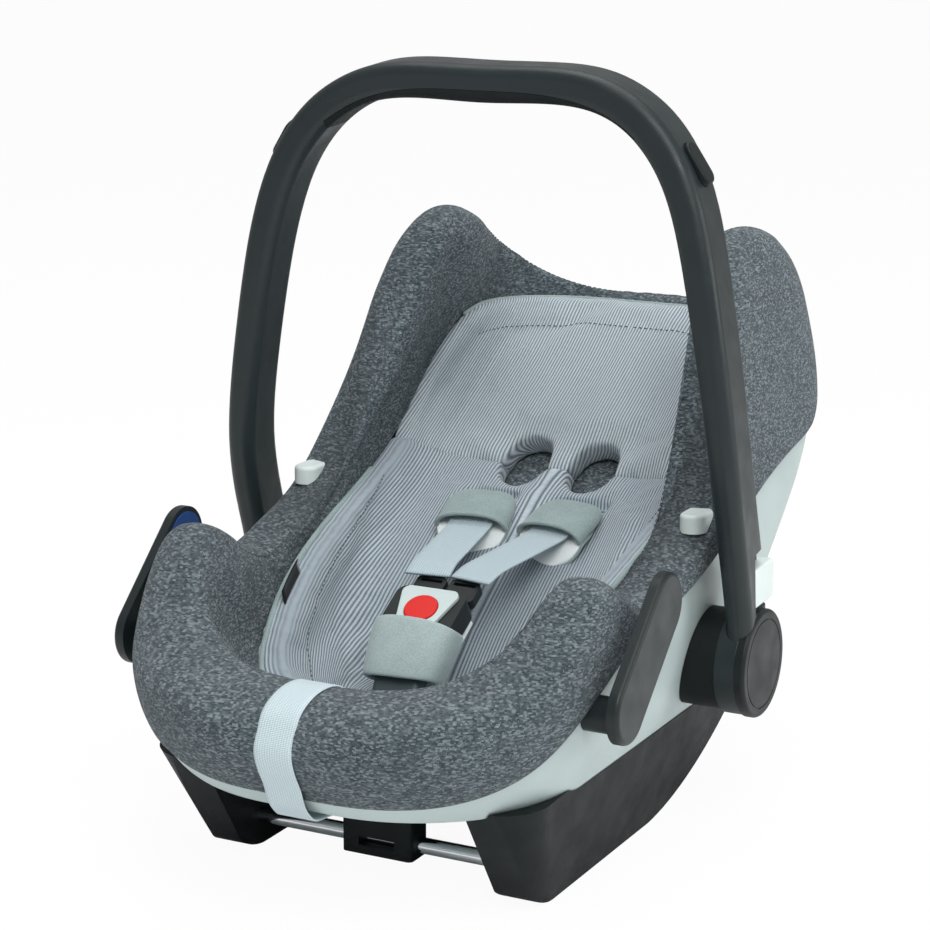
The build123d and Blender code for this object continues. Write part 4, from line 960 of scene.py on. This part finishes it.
bpy.context.view_layer.update()
for name, pad in (("body_inlay_stitches", body_pad), ("head_inlay_stitches", head_pad)):
    rows = stitches(name, [roll_seam(pad, sign) for _, sign in SIDES], 2.6, 2.2, 0.4)
    worn(rows, "seat", thread_dark, "inlay_light")


def sheet(name, path, across, width, thick, crown, look, slot, held, rests_on, *stands_for):
    """A flat ribbon along a path, of a given flat width."""
    strip = ribbon(name, path, across, width, thick, crown)
    worn(strip, "seat", look, slot, *stands_for)


def level(path):
    """The width direction of a ribbon that lies level across the seat."""
    return np.tile((1.0, 0.0, 0.0), (len(path), 1))


tag_path = even(edge_run(-136.0, -104.0, -1), 9) + (7.0, 0.0, 6.0)
tag_up = np.tile((-0.25, 0.0, 1.0), (len(tag_path), 1))
tag_on = ("stretched", "body_inlay_binding")
sheet("inlay_tag", tag_path, tag_up, TAG_WIDTH, 1.2, 0.6, tag_black, "inlay_light", *tag_on)
for name, first, last, look in (
    ("head_ribbon_low", 122.0, 166.0, trim_ochre),
    ("head_ribbon_top", 166.0, 186.0, trim_pink),
):
    path = even(edge_run(first, last, 1), 14) + (2.2, 0.0, 2.4)
    strip = ribbon(name, path, np.tile((0.5, 0.0, 0.87), (len(path), 1)), 5.0, 0.9, 0.3)
    worn(strip, "seat", look, "inlay_light")

# Cover cloth that shows through the inlay's two upper harness holes
patch_line = np.array([cavity_wall.at(HALF, z) for z in np.linspace(200.0, 262.0, 16)])
for side, sign in SIDES:
    path = patch_line + (sign * HOLE_X, 2.0, 0.0)
    name = f"cover_slot_lining_{side}"
    on = ("stretched", "foam_liner")
    sheet(name, path, level(path), PATCH_WIDTH, 1.5, 0.0, cover_cloth, "cover_melange", *on)


# Harness

SHOULDER_WEB = 36.0
SEAT_WEB = 30.0
WEB_THICK = 1.6


def splay(points, sign):
    """Places points of the middle plane on the left or right shoulder strap."""
    foot, top = SHOULDER_ROUTE[-1], SHOULDER_ROUTE[1]
    a = math.atan2(SHOULDER_X - TONGUE_X, top[0] - foot[0])
    points = np.array(points, float)
    x = points[..., 0] * math.cos(a) + (points[..., 1] - foot[0]) * math.sin(a)
    y = -points[..., 0] * math.sin(a) + (points[..., 1] - foot[0]) * math.cos(a)
    return np.stack([sign * (TONGUE_X + x), foot[0] + y, points[..., 2]], axis=-1)


def route_points(route, rounds, step=3.0):
    """A side-view route as evenly spaced points of the middle plane, its corners rounded."""
    flat = np.array([(0.0, y, z) for y, z in route])
    count = int(chords(flat)[-1] / step)
    return soften(even(flat, count), rounds)


for side, sign in SIDES:
    line = route_points(SHOULDER_ROUTE, 5)
    path = splay(line, sign)
    across = splay(line + (1.0, 0.0, 0.0), sign) - path
    name = f"shoulder_strap_{side}"
    on = ("stretched", "harness_yoke", name)
    sheet(name + "_web", path, across * sign, SHOULDER_WEB, WEB_THICK, 0.0, strap_web, "webbing", *on)


def pad_frame(points, sign):
    """From a pad's own across, along and up millimetres to its place on the strap."""
    a = math.radians(PAD_TILT)
    points = np.array(points, float)
    y = PAD_AT[0] + points[..., 1] * math.cos(a) - points[..., 2] * math.sin(a)
    z = PAD_AT[1] + points[..., 1] * math.sin(a) + points[..., 2] * math.cos(a)
    return splay(np.stack([points[..., 0], y, z], axis=-1), sign)


def both_skins(name, sign, outer, inner):
    """A thick sheet between two grids of points in a shoulder pad's own frame."""
    rows, cols = outer.shape[:2]
    n = rows * cols
    faces = grid_faces(rows, cols, False)
    faces += [tuple(n + k for k in f[::-1]) for f in grid_faces(rows, cols, False)]
    for i in range(cols - 1):
        faces.append((i + 1, i, n + i, n + i + 1))
        j = (rows - 1) * cols + i
        faces.append((j, j + 1, n + j + 1, n + j))
    for r in range(rows - 1):
        j = r * cols
        faces.append((j, j + cols, n + j + cols, n + j))
        j = r * cols + cols - 1
        faces.append((j + cols, j, n + j, n + j + cols))
    points = np.concatenate([outer.reshape(-1, 3), inner.reshape(-1, 3)])
    return mesh_object(name, pad_frame(points, sign), faces if sign > 0 else [f[::-1] for f in faces])


LINING_HALF = 28.5
LINING_LONG = 62.0
LINING_BACK = 22.0
LINING_TURN = 15.0
HOOD_HALF = 29.5
HOOD_TALL = 12.5
HOOD_LONG = 46.0
HOOD_FRONT = -20.0
HOOD_WALL = 3.8


def under_pad(grow, drop):
    """One skin of the lower half of a shoulder pad: a rounded tongue that turns down ahead of the hood."""
    t = np.linspace(0, 1, 30)[:, None]
    s = np.linspace(-1, 1, 31)[None, :]
    front = np.maximum(0.0, (t - 0.55) / 0.45)
    back = np.maximum(0.0, 1 - t / 0.45)
    x = (LINING_HALF + grow) * s * np.sqrt(1.03 - front**2.6) * (1 - 0.45 * back**1.5)
    y = LINING_BACK - (LINING_LONG + grow) * t + 6.0 * s**2 * front
    z = -2.5 - drop - 3.0 * (1 - np.abs(s) ** 2.2) - LINING_TURN * front**1.7 - 2.0 * front * s**2
    return np.stack([x, np.broadcast_to(y, x.shape), np.broadcast_to(z, x.shape)], axis=-1)


def over_pad(inner):
    """One skin of the felt hood over the strap, with a rolled front edge."""
    t = np.linspace(0, 1, 26)[:, None]
    turn = np.linspace(0, math.pi, 31)[None, :]
    c, s = np.cos(turn), np.sin(turn)
    close = np.sqrt(np.maximum(0.0, 1 - np.maximum(0.0, (t - 0.4) / 0.62) ** 2.4))
    roll = 1.5 * np.exp(-((t / 0.09) ** 2))
    wide = HOOD_HALF * (0.6 + 0.4 * close) + 0.5 * roll - inner
    tall = HOOD_TALL * (0.35 + 0.65 * close) + roll - inner
    x = wide * np.sign(c) * np.abs(c) ** 0.7
    y = HOOD_FRONT + HOOD_LONG * t + 3.0 * (1 - (x / 30.0) ** 2) * np.exp(-((t / 0.3) ** 2))
    z = -4.5 + 0.2 * inner + tall * np.abs(s) ** 0.75
    return np.stack([x, y, z], axis=-1)


for side, sign in SIDES:
    node = f"shoulder_pad_{side}"
    for part, outer, inner, look, fill, stands_for in (
        ("lining", under_pad(0.0, 0.0), under_pad(0.0, 2.4), pad_white, 0.6, ()),
        ("casing", under_pad(0.8, 2.6), under_pad(0.8, 5.0), pad_felt, 0.6, ()),
        ("hood", over_pad(0.0), over_pad(HOOD_WALL), pad_felt, 0.5, (node,)),
    ):
        pad = both_skins(f"{node}_{part}", sign, outer, inner)
        worn(finer(pad), "seat", look, "pad_grey", *stands_for)


# Crotch loop, crotch strap, pull strap and the strap over the lip


def stalk_frame(points):
    """From millimetres across, through and along the stalk to their place."""
    d = np.array([0.0, STALK_TOP[0] - STALK_END[0], STALK_TOP[1] - STALK_END[1]])
    d = d / np.linalg.norm(d)
    through = np.array([0.0, d[2], -d[1]])
    points = np.array(points, float)
    base = np.array([0.0, *STALK_END])
    x = points[..., 0:1] * np.array([1.0, 0.0, 0.0])
    return base + x + points[..., 1:2] * through + points[..., 2:3] * d


LOOP_WALL = 4.5
LOOP_HALF = 30.0
LOOP_DEEP = 20.0
LOOP_LOW = 25.0
LOOP_HIGH = 66.0


def crotch_loop():
    """A felt sleeve wrapped round the stalk and the lower half of the buckle."""
    cols = 64
    turn = np.linspace(0, 2 * math.pi, cols, endpoint=False)
    c, s = np.cos(turn), np.sin(turn)
    section = []
    for share in np.linspace(0, 1, 9):
        section.append((share, 0.0, 1.2 * math.sin(math.pi * share)))
    for turned in np.linspace(0, math.pi, 5)[1:-1]:
        section.append((1.0 + 0.05 * math.sin(turned), LOOP_WALL / 2 * (1 - math.cos(turned)), 0.0))
    for share in np.linspace(1, 0, 9):
        section.append((share, LOOP_WALL, 0.0))
    for turned in np.linspace(0, math.pi, 5)[1:-1]:
        section.append((-0.05 * math.sin(turned), LOOP_WALL / 2 * (1 + math.cos(turned)), 0.0))
    rows = []
    for share, deep, swell in section:
        x = (LOOP_HALF + 4.0 * share - deep + swell) * np.sign(c) * np.abs(c) ** 0.7
        y = 2.5 + 5.5 * share + (LOOP_DEEP - deep + swell) * np.sign(s) * np.abs(s) ** 0.7
        low = LOOP_LOW + 2.0 * np.cos(turn - 0.6)
        z = low + (LOOP_HIGH - low - 1.5 * np.cos(2 * turn)) * share
        rows.append(np.stack([x, y, z], axis=1))
    grid = np.concatenate(rows)
    faces = [tuple(i % len(grid) for i in face) for face in grid_faces(len(rows) + 1, cols, True)]
    return mesh_object("crotch_loop_felt", stalk_frame(grid), faces)


def buckle_frame(points):
    """From millimetres across, up and out of the buckle's face to their place."""
    a = math.radians(BUCKLE_TILT)
    points = np.array(points, float)
    y = BUCKLE_AT[0] + points[..., 1] * math.cos(a) - points[..., 2] * math.sin(a)
    z = BUCKLE_AT[1] + points[..., 1] * math.sin(a) + points[..., 2] * math.cos(a)
    return np.stack([points[..., 0], y, z], axis=-1)


loop = crotch_loop()
worn(finer(loop), "seat", loop_felt, "felt", "crotch_pad")

back_line = np.concatenate([
    stalk_frame([(0.0, 12.0, 2.0), (0.0, 12.5, 20.0), (0.0, 13.5, 34.0)]),
    buckle_frame([(0.0, -20.0, -30.5), (0.0, 0.0, -30.5), (0.0, 20.0, -30.0)]),
])
back_line = soften(even(back_line, 40), 6)
back_pad = ribbon("crotch_back_felt", back_line, level(back_line), 57.0, 6.0)
worn(finer(back_pad), "seat", pad_white, "felt")

foot_y = STALK_END[0] - 6.0
crotch_line = route_points((STALK_END, (foot_y, 100.0), (foot_y, 84.0)), 2, 2.0)
pull_line = route_points(PULL_ROUTE, 4)
over_lip = [shape[r, 0] + 1.7 * outward[r, 0] for r in range(COVER_ROWS) if shape[r, 0, 2] > 108]
over_lip = [p for p in over_lip[::-1] if p[2] > 158 or p[1] < -310]
lip_points = [np.array([0.0, -258.0, 150.0])] + over_lip
lip_points += [np.array([0.0, y, z]) for y, z in ((-323.0, 94.5), (-309.5, 80.0), (-284.0, 77.0))]
lip_line = soften(even(lip_points, 70), 6)
for node, path, look, held, rests_on in (
    ("crotch_strap", crotch_line, strap_web, "stretched", "crotch_anchor"),
    ("pull_strap", pull_line, lip_web, "stretched", "harness_yoke"),
    ("adjuster_strap", lip_line, lip_web, "laid", "seat_cover_cloth"),
):
    on = (held, rests_on, node)
    sheet(node + "_web", path, level(path), SEAT_WEB, WEB_THICK, 0.0, look, "webbing", *on)


# Floor and light

FLOOR_REACH = 16000.0
FLOOR_GLOW = 0.95
corners = [(FLOOR_REACH * x, FLOOR_REACH * y, 0.0) for x, y in ((-1, -1), (1, -1), (1, 1), (-1, 1))]
floor = mesh_object("floor", corners, [(0, 1, 2, 3)])
floor_look = Finish("floor_white", 0.9, Specular_IOR_Level=0.1)
floor_tone = floor_look.noise(floor_look.mapped((1, 1, 1)), 3.0, 2.0)
floor_look.colour(floor_look.ramp(floor_tone, (0.3, (0.9, 0.9, 0.9, 1)), (0.7, (0.93, 0.93, 0.93, 1))))
floor_ray = floor_look.node("LightPath")
floor_glow = floor_look.node("Emission")
floor_mix = floor_look.node("MixShader")
floor_look.link(floor_look.span(floor_ray.outputs["Is Camera Ray"], 0.0, FLOOR_GLOW), floor_mix.inputs["Fac"])
floor_look.link(floor_look.shader.outputs["BSDF"], floor_mix.inputs[1])
floor_look.link(floor_glow.outputs["Emission"], floor_mix.inputs[2])
floor_look.link(floor_mix.outputs["Shader"], floor_look.tree.nodes["Material Output"].inputs["Surface"])
paint(floor, floor_look.material)
world = bpy.data.worlds.new("studio")
scene.world = world
world.use_nodes = True
sky = world.node_tree
background = sky.nodes["Background"]
background.inputs["Color"].default_value = (1.0, 1.0, 1.0, 1.0)
path_kind = sky.nodes.new("ShaderNodeLightPath")
strength = sky.nodes.new("ShaderNodeMapRange")
strength.inputs["To Min"].default_value = 0.5
strength.inputs["To Max"].default_value = 1.0
sky.links.new(path_kind.outputs["Is Camera Ray"], strength.inputs["Value"])
sky.links.new(strength.outputs["Result"], background.inputs["Strength"])


def lamp(name, at, aim, size, power):
    """A round area light, in metres and watts."""
    data = bpy.data.lights.new(name, "AREA")
    data.shape = "DISK"
    data.size = size
    data.energy = power
    obj = bpy.data.objects.new(name, data)
    scene.collection.objects.link(obj)
    obj.location = at
    obj.rotation_mode = "QUATERNION"
    obj.rotation_quaternion = (Vector(aim) - Vector(at)).to_track_quat("-Z", "Y")


lamp("key_light", (1.3, -1.6, 2.4), (0, 0, 0.25), 1.6, 52)
lamp("top_light", (-0.3, 0.3, 2.8), (0, 0, 0.2), 2.2, 36)
lamp("side_light", (2.4, 0.6, 1.0), (0, 0, 0.25), 1.2, 18)
scene.view_settings.view_transform = "Standard"
